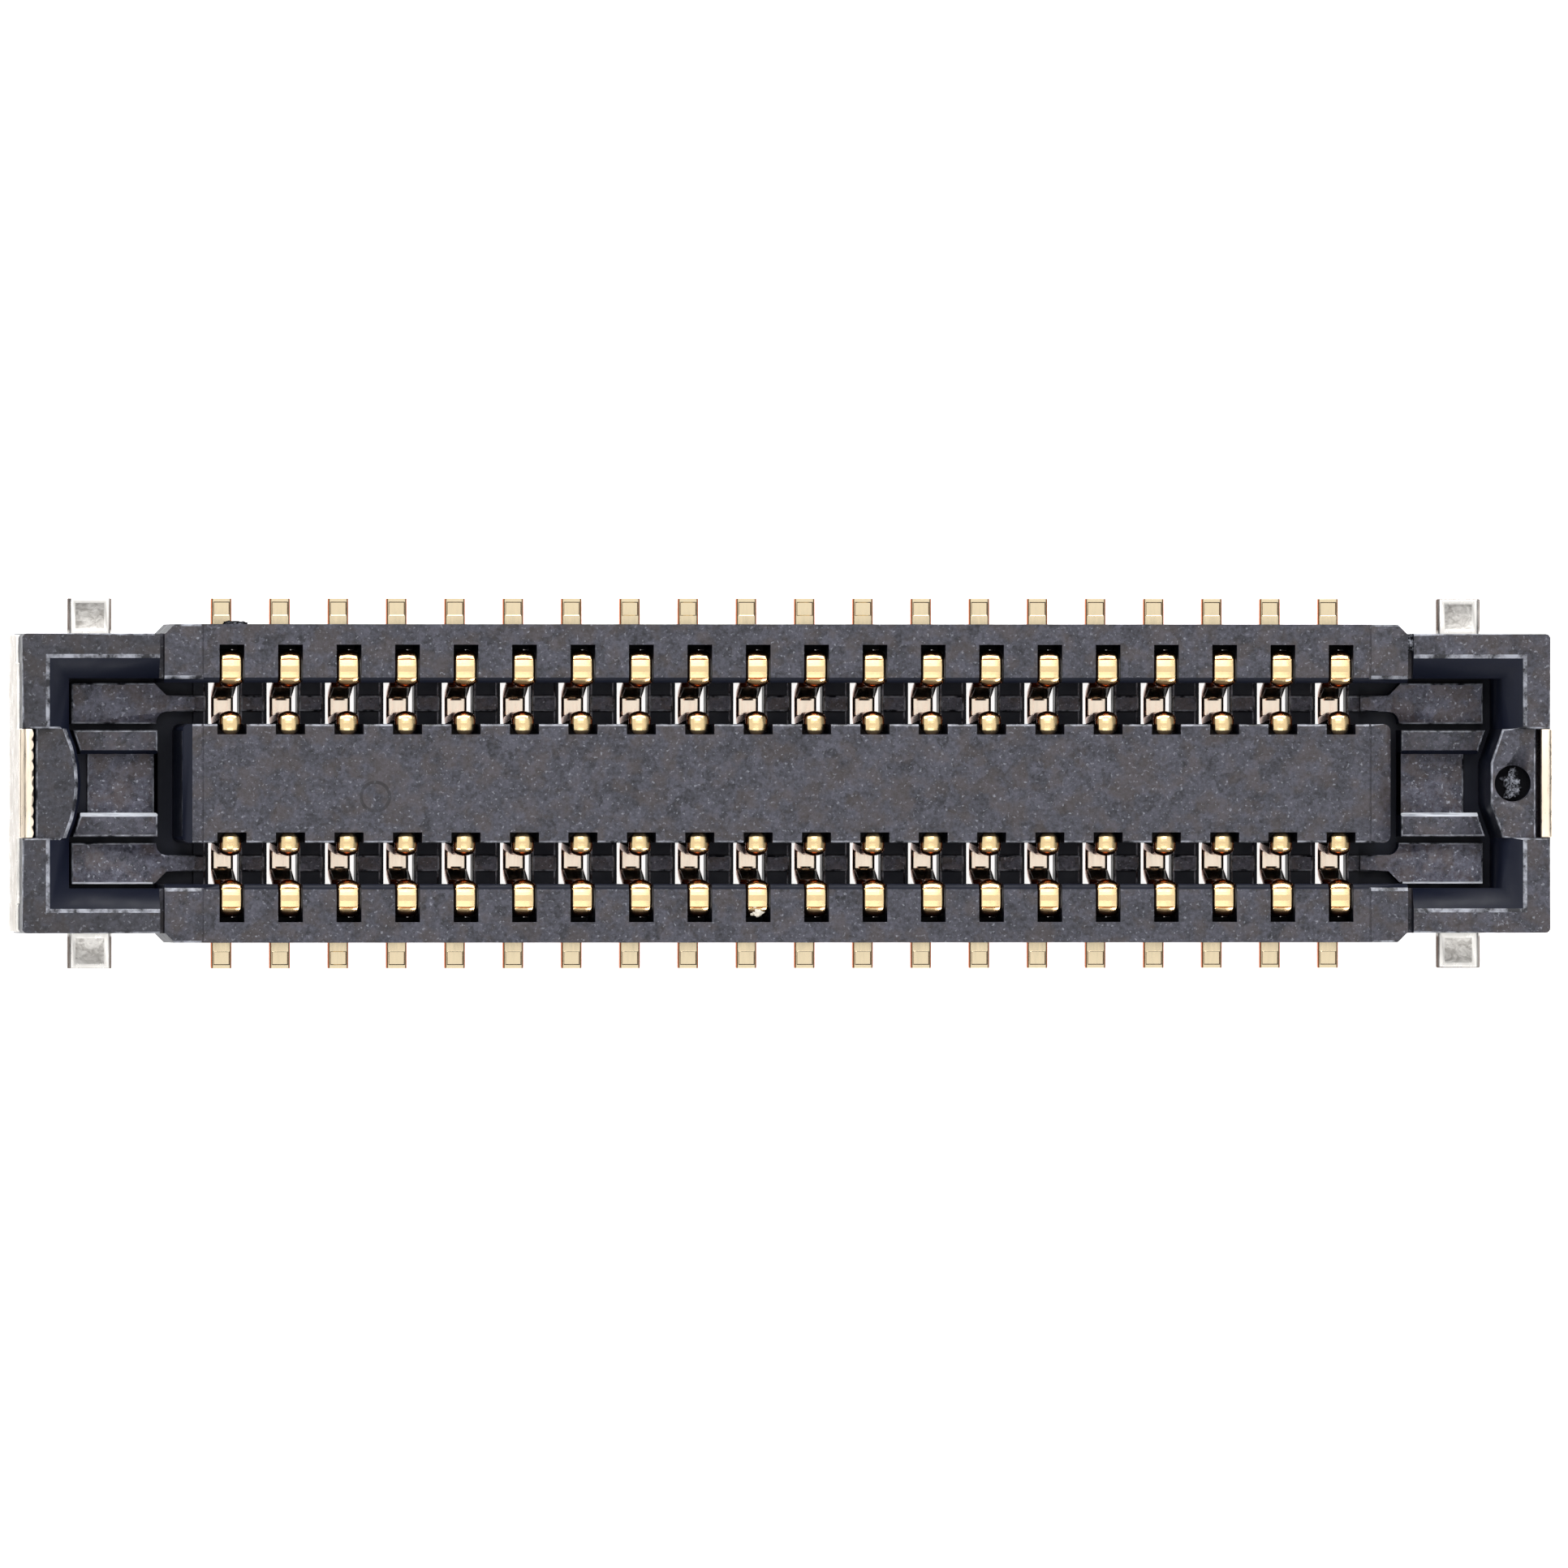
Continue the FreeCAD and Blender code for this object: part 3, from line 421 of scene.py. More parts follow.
def plated_strip(colours):
    """Satin gold with rolling marks on a strip with bare sheared sides.

    The gold is thin on the tail and thicker, so warmer, on hump and tip. The steep faces of
    the upper bends are painted the orange of the bare alloy, as painted shade. The low run
    beside the spring keeps its nickel, and the slope above it is painted nearly black, as
    painted shade. Real rolling marks are a few micrometres wide, and they are drawn 0.03 mm
    wide, so that they show.
    """
    rolling_marks = (30, 4, 4)
    leg_face, leg_inside = 0.66, 0.65
    hump_start, hump_foot = 0.56, 0.50
    dip_level, slope_level = 0.15, 0.19
    thin_level, thick_level = 0.3, 0.5
    material, tree = new_material("gold_plated_strip")
    rolled = add_node(tree, "ShaderNodeTexNoise", {
        "Vector": in_millimetres(tree, rolling_marks), "Scale": 1, "Detail": 3, "Roughness": 0.6,
    })

    # Nickel inside the groove below the hump, painted shade on its slope, and gold elsewhere.
    spot = add_node(tree, "ShaderNodeSeparateXYZ", {0: in_millimetres(tree)})
    across = add_node(tree, "ShaderNodeMath", {0: spot.outputs["Y"]}, operation="ABSOLUTE")
    inside = add_node(tree, "ShaderNodeMapRange", {
        "Value": across.outputs[0], "From Min": leg_face, "From Max": leg_inside,
    })
    below = add_node(tree, "ShaderNodeMapRange", {
        "Value": spot.outputs["Z"], "From Min": hump_start, "From Max": hump_foot,
    })
    nickel_and_shade_zone = add_node(tree, "ShaderNodeMath", {
        0: inside.outputs[0], 1: below.outputs[0],
    }, operation="MULTIPLY")
    slope_shade_mask = add_node(tree, "ShaderNodeMapRange", {
        "Value": spot.outputs["Z"], "From Min": dip_level, "From Max": slope_level,
    })
    nickel = add_node(tree, "ShaderNodeMix", {
        FACTOR: slope_shade_mask.outputs[0], FIRST: (*colours.nickel, 1), SECOND: (*colours.slope_shade, 1),
    }, data_type="RGBA")
    upper = add_node(tree, "ShaderNodeMapRange", {
        "Value": spot.outputs["Z"], "From Min": thin_level, "From Max": thick_level,
    })
    gold = add_node(tree, "ShaderNodeMix", {
        FACTOR: upper.outputs[0], FIRST: (*colours.gold, 1), SECOND: (*colours.thick_gold, 1),
    }, data_type="RGBA")
    plated = add_node(tree, "ShaderNodeMix", {
        FACTOR: nickel_and_shade_zone.outputs[0], FIRST: gold.outputs[MIXED], SECOND: nickel.outputs[MIXED],
    }, data_type="RGBA")

    # Bare alloy on the sheared sides, and its orange painted on the steep parts of the upper bends
    # as painted shade.
    facing = add_node(tree, "ShaderNodeNewGeometry")
    way = add_node(tree, "ShaderNodeSeparateXYZ", {0: facing.outputs["Normal"]})
    sideways = add_node(tree, "ShaderNodeMath", {0: way.outputs["X"]}, operation="ABSOLUTE")
    bent = add_node(tree, "ShaderNodeMath", {
        0: way.outputs["Y"], 1: upper.outputs[0],
    }, operation="MULTIPLY")
    steep = add_node(tree, "ShaderNodeMath", {0: bent.outputs[0]}, operation="ABSOLUTE")
    side_or_shaded_bend = add_node(tree, "ShaderNodeMath", {
        0: sideways.outputs[0], 1: steep.outputs[0],
    }, operation="MAXIMUM")
    bare = add_node(tree, "ShaderNodeMapRange", {
        "Value": side_or_shaded_bend.outputs[0], "From Min": 0.35, "From Max": 0.8,
    })
    colour = add_node(tree, "ShaderNodeMix", {
        FACTOR: bare.outputs[0], FIRST: plated.outputs[MIXED], SECOND: (*colours.shear, 1),
    }, data_type="RGBA")

    gloss = add_node(tree, "ShaderNodeMapRange", {
        "Value": rolled.outputs["Fac"], "From Min": 0.3, "From Max": 0.7,
        "To Min": 0.12, "To Max": 0.25,
    })
    relief = add_node(tree, "ShaderNodeBump", {
        "Height": rolled.outputs["Fac"], "Strength": 0.12, "Distance": 0.003 * MM,
    })
    surface = add_node(tree, "ShaderNodeBsdfPrincipled", {
        "Base Color": colour.outputs[MIXED], "Metallic": 1.0, "Roughness": gloss.outputs[0],
        "Normal": relief.outputs["Normal"],
    })
    add_node(tree, "ShaderNodeOutputMaterial", {"Surface": surface.outputs[0]})
    return material


def tin_with_bare_tongue(colours):
    """Tin plating, duller on the end plates, with sheared sides.

    The shear bared warm alloy on the tongues' upper edges and darkened the solder legs' sides.
    The brush marks are drawn 0.02 mm wide, coarser than real ones, so that they show.
    """
    brush_marks = (46, 7, 7)
    tongue_level, tongue_edge = 0.775, 0.785
    leg_start, leg_whole = 1.03, 1.05
    material, tree = new_material("tin_plated_sheet")
    brushed = add_node(tree, "ShaderNodeTexNoise", {
        "Vector": in_millimetres(tree, brush_marks), "Scale": 1, "Detail": 4, "Roughness": 0.65,
    })
    spot = add_node(tree, "ShaderNodeSeparateXYZ", {0: in_millimetres(tree)})
    facing = add_node(tree, "ShaderNodeNewGeometry")
    way = add_node(tree, "ShaderNodeSeparateXYZ", {0: facing.outputs["Normal"]})

    # Dull plates, which face the ends.
    endways = add_node(tree, "ShaderNodeMath", {0: way.outputs["X"]}, operation="ABSOLUTE")
    plate = add_node(tree, "ShaderNodeMapRange", {
        "Value": endways.outputs[0], "From Min": 0.8, "From Max": 0.95,
    })
    coat = add_node(tree, "ShaderNodeMix", {
        FACTOR: plate.outputs[0], FIRST: (*colours.tin, 1), SECOND: (*colours.dull_tin, 1),
    }, data_type="RGBA")

    # Dark sides of the legs, and bare alloy on the tongues' edges.
    across = add_node(tree, "ShaderNodeMath", {0: spot.outputs["Y"]}, operation="ABSOLUTE")
    leg = add_node(tree, "ShaderNodeMapRange", {
        "Value": across.outputs[0], "From Min": leg_start, "From Max": leg_whole,
    })
    steep = add_node(tree, "ShaderNodeMapRange", {
        "Value": way.outputs["Z"], "From Min": 0.9, "From Max": 0.65,
    })
    sheared = add_node(tree, "ShaderNodeMath", {
        0: leg.outputs[0], 1: steep.outputs[0],
    }, operation="MULTIPLY")
    edged = add_node(tree, "ShaderNodeMix", {
        FACTOR: sheared.outputs[0], FIRST: coat.outputs[MIXED], SECOND: (*colours.leg_side, 1),
    }, data_type="RGBA")
    bare = add_node(tree, "ShaderNodeMapRange", {
        "Value": spot.outputs["Z"], "From Min": tongue_level, "From Max": tongue_edge,
    })
    colour = add_node(tree, "ShaderNodeMix", {
        FACTOR: bare.outputs[0], FIRST: edged.outputs[MIXED], SECOND: (*colours.alloy, 1),
    }, data_type="RGBA")

    gloss = add_node(tree, "ShaderNodeMapRange", {
        "Value": brushed.outputs["Fac"], "From Min": 0.3, "From Max": 0.7,
        "To Min": 0.2, "To Max": 0.5,
    })
    relief = add_node(tree, "ShaderNodeBump", {
        "Height": brushed.outputs["Fac"], "Strength": 0.45, "Distance": 0.004 * MM,
    })
    surface = add_node(tree, "ShaderNodeBsdfPrincipled", {
        "Base Color": colour.outputs[MIXED], "Metallic": 1.0, "Roughness": gloss.outputs[0],
        "Normal": relief.outputs["Normal"],
    })
    add_node(tree, "ShaderNodeOutputMaterial", {"Surface": surface.outputs[0]})
    return material


def scratched_tin(colours):
    """The field on each solder leg, greyed by fine scratches in all directions."""
    scratches = (16, 20, 16)
    material, tree = new_material("scratched_tin")
    marks = add_node(tree, "ShaderNodeTexNoise", {
        "Vector": in_millimetres(tree, scratches), "Scale": 1, "Detail": 4, "Roughness": 0.6,
        "Distortion": 1.2,
    })
    clean = add_node(tree, "ShaderNodeMapRange", {
        "Value": marks.outputs["Fac"], "From Min": 0.3, "From Max": 0.72,
    })
    colour = add_node(tree, "ShaderNodeMix", {
        FACTOR: clean.outputs[0], FIRST: (*colours.field, 1), SECOND: (*colours.tin, 1),
    }, data_type="RGBA")
    relief = add_node(tree, "ShaderNodeBump", {
        "Height": marks.outputs["Fac"], "Strength": 0.3, "Distance": 0.004 * MM,
    })
    surface = add_node(tree, "ShaderNodeBsdfPrincipled", {
        "Base Color": colour.outputs[MIXED], "Metallic": 1.0, "Roughness": 0.36,
        "Normal": relief.outputs["Normal"],
    })
    add_node(tree, "ShaderNodeOutputMaterial", {"Surface": surface.outputs[0]})
    return material


def dried_flux(colours):
    """Waxy dried flux, cream and slightly glossy."""
    clots = 26
    material, tree = new_material("dried_flux")
    clot = add_node(tree, "ShaderNodeTexNoise", {
        "Vector": in_millimetres(tree), "Scale": clots, "Detail": 3,
    })
    colour = add_node(tree, "ShaderNodeMix", {
        FACTOR: clot.outputs["Fac"], FIRST: (*colours.residue, 1), SECOND: (*colours.tin, 1),
    }, data_type="RGBA")
    surface = add_node(tree, "ShaderNodeBsdfPrincipled", {
        "Base Color": colour.outputs[MIXED], "Roughness": 0.35, "IOR": POLYMER_IOR,
    })
    add_node(tree, "ShaderNodeOutputMaterial", {"Surface": surface.outputs[0]})
    return material


# Meshes

# Least angles, in degrees, at which two faces make a sharp or a blunt corner, and the least
# upward part of a level face's normal.
SHARP, BLUNT = 40, 20
LEVEL = 0.97


def is_near(value, place, slack=0.01):
    """Whether a value in millimetres is at a place, give or take the slack."""
    return abs(value - place) < slack


def row_contacts(row):
    """The CAD nodes of one row's contacts."""
    return sorted(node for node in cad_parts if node.startswith(f"contact_{row}"))


def middle_x(node):
    """Middle of a CAD node along the connector, in millimetres."""
    low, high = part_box(node)
    return (low.x + high.x) / 2 / MM


def add_piece(name, bm, materials, nodes=(), smooth_angle=35):
    """Turns a mesh shaped in millimetres into a finished piece that rides on the socket."""
    bmesh.ops.recalc_face_normals(bm, faces=bm.faces)
    bmesh.ops.scale(bm, vec=(MM, MM, MM), verts=bm.verts)
    for face in bm.faces:
        face.smooth = True
    mesh = bpy.data.meshes.new(name)
    bm.to_mesh(mesh)
    bm.free()
    mesh.set_sharp_from_angle(angle=math.radians(smooth_angle))
    for material in materials:
        mesh.materials.append(material)
    piece = bpy.data.objects.new(name, mesh)
    bpy.context.scene.collection.objects.link(piece)
    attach(piece, "root")
    if nodes:
        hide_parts(*nodes)
    return piece


def solid_copy(node):
    """A CAD solid as a mesh in millimetres, with its flat faces whole."""
    bm = bmesh.new()
    bm.from_mesh(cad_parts[node].data)
    bmesh.ops.scale(bm, vec=(1 / MM, 1 / MM, 1 / MM), verts=bm.verts)
    bmesh.ops.remove_doubles(bm, verts=bm.verts, dist=1e-4)
    bmesh.ops.dissolve_limit(bm, angle_limit=math.radians(1), verts=bm.verts, edges=bm.edges)
    bm.normal_update()
    return bm


def corner_edges(bm, least_degrees, test=lambda edge: True):
    """Edges where two faces meet at an angle, and that pass a test."""
    return [
        edge for edge in bm.edges
        if len(edge.link_faces) == 2
        and edge.calc_face_angle(0) > math.radians(least_degrees)
        and test(edge)
    ]


def soften(bm, edges, radius, segments, material=-1, clamp=True):
    """Rounds edges with the bevel operator."""
    bmesh.ops.bevel(
        bm, geom=edges, offset=radius, offset_type="OFFSET", affect="EDGES", segments=segments,
        profile=0.5, material=material, clamp_overlap=clamp,
    )


# Contacts

# Share of the strip's width that is pressed in, unless a run gives another.
FIELD_SHARE = 0.75


class StripPath:
    """Follows a bent strip's middle line and notes its sections on the way.

    A section is its place across the connector and its height, the way the strip runs there,
    its width, the crown of its upper face, how far that face is pressed in, and over which
    share of the width.
    """

    def __init__(self, y, z, heading, width):
        self.place = Vector((y, z))
        self.heading = heading
        self.width = width
        self.crown = 0.0
        self.sections = []
        self.note()

    def note(self, pressed=0.0, share=FIELD_SHARE):
        """Keeps the section that the path has reached."""
        section = (self.place.copy(), self.heading, self.width, self.crown, pressed, share)
        self.sections.append(section)

    def run(self, length, width=None, crown=None, steps=1, pressed=0.0, share=FIELD_SHARE):
        """Goes straight on, and changes width and crown evenly."""
        self.move(steps, 0.0, length / steps, width, crown, pressed, share)

    def turn(self, angle, radius, width=None, crown=None, steps=8):
        """Bends by an angle round a radius of the middle line."""
        chord = 2 * radius * math.sin(abs(angle) / steps / 2)
        self.move(steps, angle / steps, chord, width, crown)

    def move(self, steps, turn, chord, width, crown, pressed=0.0, share=FIELD_SHARE):
        """Takes equal steps, each with its turn, and notes a section after each."""
        width_step = 0 if width is None else (width - self.width) / steps
        crown_step = 0 if crown is None else (crown - self.crown) / steps
        for _ in range(steps):
            way = self.heading + turn / 2
            self.place += Vector((math.cos(way), math.sin(way))) * chord
            self.heading += turn
            self.width += width_step
            self.crown += crown_step
            self.note(pressed, share)


def coined_tail(path, length, coin):
    """The solder tail, with a shallow field pressed into its upper face near the end."""
    border, wall, field = 0.022, 0.006, length * 0.24
    path.run(border)
    path.run(wall, pressed=coin)
    path.run(field, pressed=coin)
    path.run(wall)
    path.run(length - field - border - 2 * wall, steps=2)


def contact_path(sizes):
    """The strip from its solder tail over the hump, down the slope and up to its curl."""
    size = {name: getattr(sizes, name) / MM for name in (
        "thickness", "width", "hump_width", "neck_width", "dip_width", "nose_width",
        "tail_end", "leg_outer", "hump_inner", "hump_top", "dip_height", "fall_height",
        "spring_foot", "spring_face", "tip_top", "tip_bend", "inside_bend", "crown", "crease",
        "coin",
    )}
    thick = size["thickness"]
    half = thick / 2
    inside = size["inside_bend"]
    bend = half + inside
    outside = thick + inside
    quarter = math.pi / 2
    crown = size["crown"]
    crease = size["crease"]
    path = StripPath(size["tail_end"], half, math.pi, size["width"])
    coined_tail(path, size["tail_end"] - size["leg_outer"] - inside, size["coin"])
    path.turn(-quarter, bend, steps=6)
    hump_centre = size["hump_top"] - outside
    path.run(hump_centre - outside, width=size["hump_width"], crown=crown, steps=3)

    # Over the hump, with a fine crease where each bend meets the arch. The last part of the
    # inner bend narrows to the neck.
    crease_start, crease_wall = 0.005, 0.006
    low_crown, arch_crown = crown * 0.6, crown * 0.3
    arch = sizes.arch_angle
    path.turn(quarter - arch, bend, crown=low_crown, steps=10)
    flat = size["leg_outer"] - size["hump_inner"] - 2 * outside
    creases = 2 * (crease_start + crease_wall)
    span = flat - creases * math.cos(arch) + 2 * bend * math.sin(arch)
    path.run(crease_start, pressed=crease)
    path.run(crease_wall, crown=arch_crown)
    path.turn(2 * arch, span / math.sin(arch) / 2, steps=6)
    path.run(crease_wall, crown=low_crown, pressed=crease)
    path.run(crease_start)
    narrowing = quarter * 0.4
    path.turn(quarter - narrowing - arch, bend, crown=crown, steps=7)
    path.turn(narrowing, bend, width=size["neck_width"], crown=crown / 2, steps=4)

    # The narrow inner leg, which widens above its knee, and its slope.
    widening = 0.05
    fall = sizes.fall_angle
    knee = quarter - fall
    fall_top = size["dip_height"] + thick + size["fall_height"]
    path.run(hump_centre - fall_top - widening, crown=0, steps=2)
    path.run(widening - inside * math.tan(knee / 2), width=size["dip_width"], steps=3)
    path.turn(-knee, bend, steps=2)
    slope = size["fall_height"] / math.sin(fall)
    path.run(slope - inside * (math.tan(knee / 2) + math.tan(fall / 2)), steps=2)
    path.turn(-fall, bend, crown=low_crown, steps=7)

    # The lowest run, with a groove along its middle between two crowned sides.
    groove, groove_share, entry_share = crease * 1.5, 0.2, 0.1
    fall_foot = size["hump_inner"] - size["fall_height"] / math.tan(fall)
    spring_height = size["tip_top"] - size["dip_height"] - thick
    lean = math.atan2(size["spring_face"] - size["spring_foot"], spring_height)
    rise = quarter + lean
    dip = fall_foot - size["spring_foot"] - inside * (math.tan(fall / 2) + math.tan(rise / 2))
    path.run(dip * entry_share, pressed=groove, share=groove_share)
    path.run(dip * (1 - entry_share), pressed=groove, share=groove_share)
    path.turn(-rise, bend, crown=0, steps=8)

    # The spring, which grows crowned near its top, and its curled tip.
    crowning, tip_flat = 0.12, 0.05
    climb = spring_height / math.cos(lean) - (inside + size["tip_bend"]) * math.tan(rise / 2)
    path.run(climb - crowning, steps=3)
    path.run(crowning, crown=crown * 1.5, steps=3)
    curl = size["tip_bend"] - half
    path.turn(rise - arch, curl, crown=crown, steps=10)
    span = tip_flat + (curl + bend) * math.sin(arch)
    path.turn(2 * arch, span / math.sin(arch) / 2, steps=5)
    path.turn(sizes.nose_angle - arch, bend, width=size["nose_width"], crown=crown / 2, steps=7)
    return path.sections


def strip_section(bm, sizes):
    """One cross-section of the strip, with rounded corners and points along its faces.

    Each corner keeps its place across the strip and through its thickness in two layers,
    which the extruded corners inherit.
    """
    divisions, outermost = 7, 0.99
    across = bm.verts.layers.float.new("across")
    through = bm.verts.layers.float.new("through")
    half_width = sizes.width / MM / 2
    half_thickness = sizes.thickness / MM / 2
    bmesh.ops.create_grid(bm, x_segments=divisions, y_segments=1, size=1)
    bmesh.ops.dissolve_edges(
        bm, edges=[edge for edge in bm.edges if len(edge.link_faces) == 2], use_verts=False,
    )
    bmesh.ops.scale(bm, vec=(half_width, half_thickness, 1), verts=bm.verts)
    corners = [vert for vert in bm.verts if abs(vert.co.x) > half_width * outermost]
    bmesh.ops.bevel(
        bm, geom=corners, offset=sizes.edge_round / MM, offset_type="OFFSET", affect="VERTICES",
        segments=3, profile=0.5, material=-1,
    )
    for vert in bm.verts:
        vert[across] = vert.co.x
        vert[through] = vert.co.y
    return bm.faces[:][0], across, through


def place_section(cap, layers, section, sizes):
    """Moves a section's corners to their place on the path."""
    across, through = layers
    place, heading, width, crown, pressed, pressed_share = section
    half_width = sizes.width / MM / 2
    upper = Vector((math.sin(heading), -math.cos(heading)))
    for vert in cap.verts:
        share = vert[across] / half_width
        offset = vert[through]
        if offset > 0:
            offset -= crown * share ** 2
            if abs(share) < pressed_share:
                offset -= pressed
        at = place + upper * offset
        vert.co = (share * width / 2, at.x, at.y)


def contact_mesh(sizes):
    """A contact of the back row, at x = 0."""
    bm = bmesh.new()
    cap, *layers = strip_section(bm, sizes)
    sections = contact_path(sizes)
    place_section(cap, layers, sections[0], sizes)
    for section in sections[1:]:
        grown = bmesh.ops.extrude_face_region(bm, geom=[cap])["geom"]
        cap = [item for item in grown if isinstance(item, bmesh.types.BMFace)][0]
        place_section(cap, layers, section, sizes)
    return bm


class SOCKET_OT_contacts(bpy.types.Operator):
    """Bent and crowned spring contacts in place of the plain ones"""

    bl_idname = "socket.contacts"
    bl_label = "Spring Contacts"

    def execute(self, context):
        sizes = context.scene.socket_contact
        gold = plated_strip(context.scene.socket_finish)
        for row, side in ROWS:
            for node in row_contacts(row):
                bm = contact_mesh(sizes)
                turned = Matrix.Rotation(0 if side > 0 else math.pi, 4, "Z")
                shift = Matrix.Translation((middle_x(node), 0, 0))
                bmesh.ops.transform(bm, matrix=shift @ turned, verts=bm.verts)
                add_piece(f"spring_{node}", bm, [gold], [node], smooth_angle=50)
        return {"FINISHED"}


# Housing

# Faces and edges of the CAD solid are told apart by these places, in millimetres from the
# middle of the connector and from the board.
GROOVE_LEVEL = 0.12
LEDGE_TOP = 0.245
PLATFORM_TOP = 0.36
BLOCK_TOP = 0.76
RECESS_SIDE = 0.2
PARTING_LINE = 4.0
# The material slots of the housing. The third is partly rubbed wear and partly painted highlight,
# and the fifth is painted highlight.
MATTE, POLISHED, RUBBED_AND_HIGHLIT, TORN, PAINTED_HIGHLIGHT = range(5)


def skin_of(face):
    """The slot of the skin for a face, by where it lies and points; deep floors take the dark skin
    as painted shade.
    """
    island_side, rail_side, row_level = 0.41, 0.68, 0.16
    dimple_start, dimple_side, dimple_low, dimple_high = 4.9, 0.12, 0.70, 0.72
    middle = face.calc_center_median()
    across = abs(middle.y)
    in_dimple = middle.x > dimple_start and across < dimple_side
    in_row = abs(middle.x) < PARTING_LINE and island_side < across < rail_side
    if in_dimple and dimple_low < middle.z < dimple_high:
        return TORN
    # Level faces low in the rows and below the groove level take the dark polished skin, as painted
    # shade.
    if in_row and middle.z < row_level:
        return POLISHED
    return MATTE if face.normal.z > LEVEL and middle.z > GROOVE_LEVEL else POLISHED


def bevel_left_nose(bm, sizes):
    """The bevel along the curved nose of the left block.

    The nose lies between two shares of the way from the middle to the end plate's face.
    """
    near_share, far_share, half_width = 0.9, 0.94, 0.372
    low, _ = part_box("hold_down_left")
    reach = -low.x / MM
    curved = corner_edges(bm, SHARP, lambda edge: all(
        reach * near_share < -vert.co.x < reach * far_share
        and is_near(vert.co.z, BLOCK_TOP, 0.001) and abs(vert.co.y) < half_width
        for vert in edge.verts
    ))
    soften(bm, curved, sizes.nose_bevel / MM, 1)


def cut_island_nose(bm, sizes):
    """The smooth strip along the island's left end, cut from its top face."""
    top_level, half_width, frame_start, last_notch = 0.7, 0.45, -4.3, -3.9
    end = min(
        vert.co.x for vert in bm.verts
        if vert.co.x > frame_start and vert.co.z > top_level and abs(vert.co.y) < half_width
    )
    start = end + sizes.island_nose / MM

    def is_left_top(face, limit):
        """Whether a face is level and on the island, with its middle left of a limit."""
        middle = face.calc_center_median()
        on_island = middle.z > top_level and abs(middle.y) < half_width
        return face.normal.z > LEVEL and on_island and frame_start < middle.x < limit

    tops = [face for face in bm.faces if is_left_top(face, last_notch)]
    around = {item for face in tops for item in (face, *face.edges, *face.verts)}
    bmesh.ops.bisect_plane(bm, geom=list(around), plane_co=(start, 0, 0), plane_no=(1, 0, 0))
    for face in bm.faces:
        if is_left_top(face, start):
            face.material_index = POLISHED


def chamfer_recesses(bm, sizes):
    """Chamfers between the platforms and the recess: dark polished at the back, painted highlight in
    front.
    """
    least_length = 0.3
    # The front chamfers face the back lamps and carry the painted highlight.
    for side, skin in ((1, POLISHED), (-1, PAINTED_HIGHLIGHT)):
        edges = corner_edges(bm, SHARP, lambda edge: edge.calc_length() > least_length and all(
            is_near(vert.co.y, side * RECESS_SIDE) and is_near(vert.co.z, PLATFORM_TOP)
            for vert in edge.verts
        ))
        soften(bm, edges, sizes.recess_chamfer / MM, 1, material=skin, clamp=False)


def worth_rounding(edge):
    """Long upper edges, but not those of the openings, the joints and the chamfers."""
    row_end, notch_side, slot_start, slot_end = 3.95, 0.40, 0.70, 1.0
    joint_start, joint_end, joint_side = 4.2, 4.3, 0.6
    chamfer_side, chamfer_low, chamfer_high = 0.24, 0.3, 0.4
    wall_low, wall_high, least_length = 0.4, 0.75, 0.035
    ends = [vert.co for vert in edge.verts]
    middle = (ends[0] + ends[1]) / 2
    low = min(end.z for end in ends)
    in_opening = abs(middle.x) < row_end and any(
        slot_start < abs(end.y) < slot_end or abs(end.y) < notch_side for end in ends
    )
    at_joint = joint_start < abs(middle.x) < joint_end and abs(middle.y) > joint_side
    chamfered = abs(middle.y) < chamfer_side and chamfer_low < middle.z < chamfer_high
    parting = all(is_near(abs(end.x), PARTING_LINE, 0.02) for end in ends)
    upper = low > GROOVE_LEVEL and not wall_low < low < wall_high
    left_sharp = in_opening or at_joint or chamfered or parting
    return upper and not left_sharp and edge.calc_length() > least_length and edge.is_convex


def add_block(bm, low, high):
    """A block between two corners, and its faces."""
    made = bmesh.ops.create_cube(bm, size=1)["verts"]
    low, high = Vector(low), Vector(high)
    bmesh.ops.scale(bm, vec=high - low, verts=made)
    bmesh.ops.translate(bm, vec=(low + high) / 2, verts=made)
    return list({face for vert in made for face in vert.link_faces})


def fill_round_legs(bm, sizes):
    """Plastic round the foot of each contact's outer leg, and the lips of each window.

    Each block's places are given across the connector, along the row from its contact, and up.
    """
    slot_inside, leg_face, slot_end = 0.80, 0.912, 0.96
    leg_side, slot_side = 0.08, 0.09
    backing = (0.03, sizes.backing_top / MM)
    groove = (0.40, 0.69)
    window_side, lip_root, right_lip = 0.118, 0.13, 0.006
    left_lip = sizes.window_lip / MM
    lip = (0.01, 0.14)
    blocks = (
        ((leg_face, slot_end), (-slot_side, slot_side), backing),
        ((slot_inside, leg_face), (-slot_side, -leg_side), backing),
        ((slot_inside, leg_face), (leg_side, slot_side), backing),
        (groove, (-lip_root, -window_side + left_lip), lip),
        (groove, (window_side - right_lip, lip_root), lip),
    )
    filled = []
    for row, side in ROWS:
        for x in map(middle_x, row_contacts(row)):
            for (near, far), (start, end), (low, high) in blocks:
                first, second = sorted((side * near, side * far))
                filled += add_block(bm, (x + start, first, low), (x + end, second, high))
    # The blocks take the dark polished skin, so that their tops read as painted shade deep in the
    # slots.
    for face in filled:
        face.material_index = POLISHED


def raise_ridges(bm, sizes):
    """The fine ridge of flash along the outer edge of each front ledge, painted nearly white as a
    painted highlight.
    """
    start, end, outer_side, sunk = 4.29, 4.84, -0.684, 0.005
    wide = sizes.ridge / MM
    top = LEDGE_TOP + wide * 0.7
    for _, side in ENDS:
        near, far = sorted((side * start, side * end))
        low = (near, outer_side, LEDGE_TOP - sunk)
        high = (far, outer_side + wide, top)
        # Each ridge is coloured all over with the painted highlight.
        for face in add_block(bm, low, high):
            face.material_index = PAINTED_HIGHLIGHT


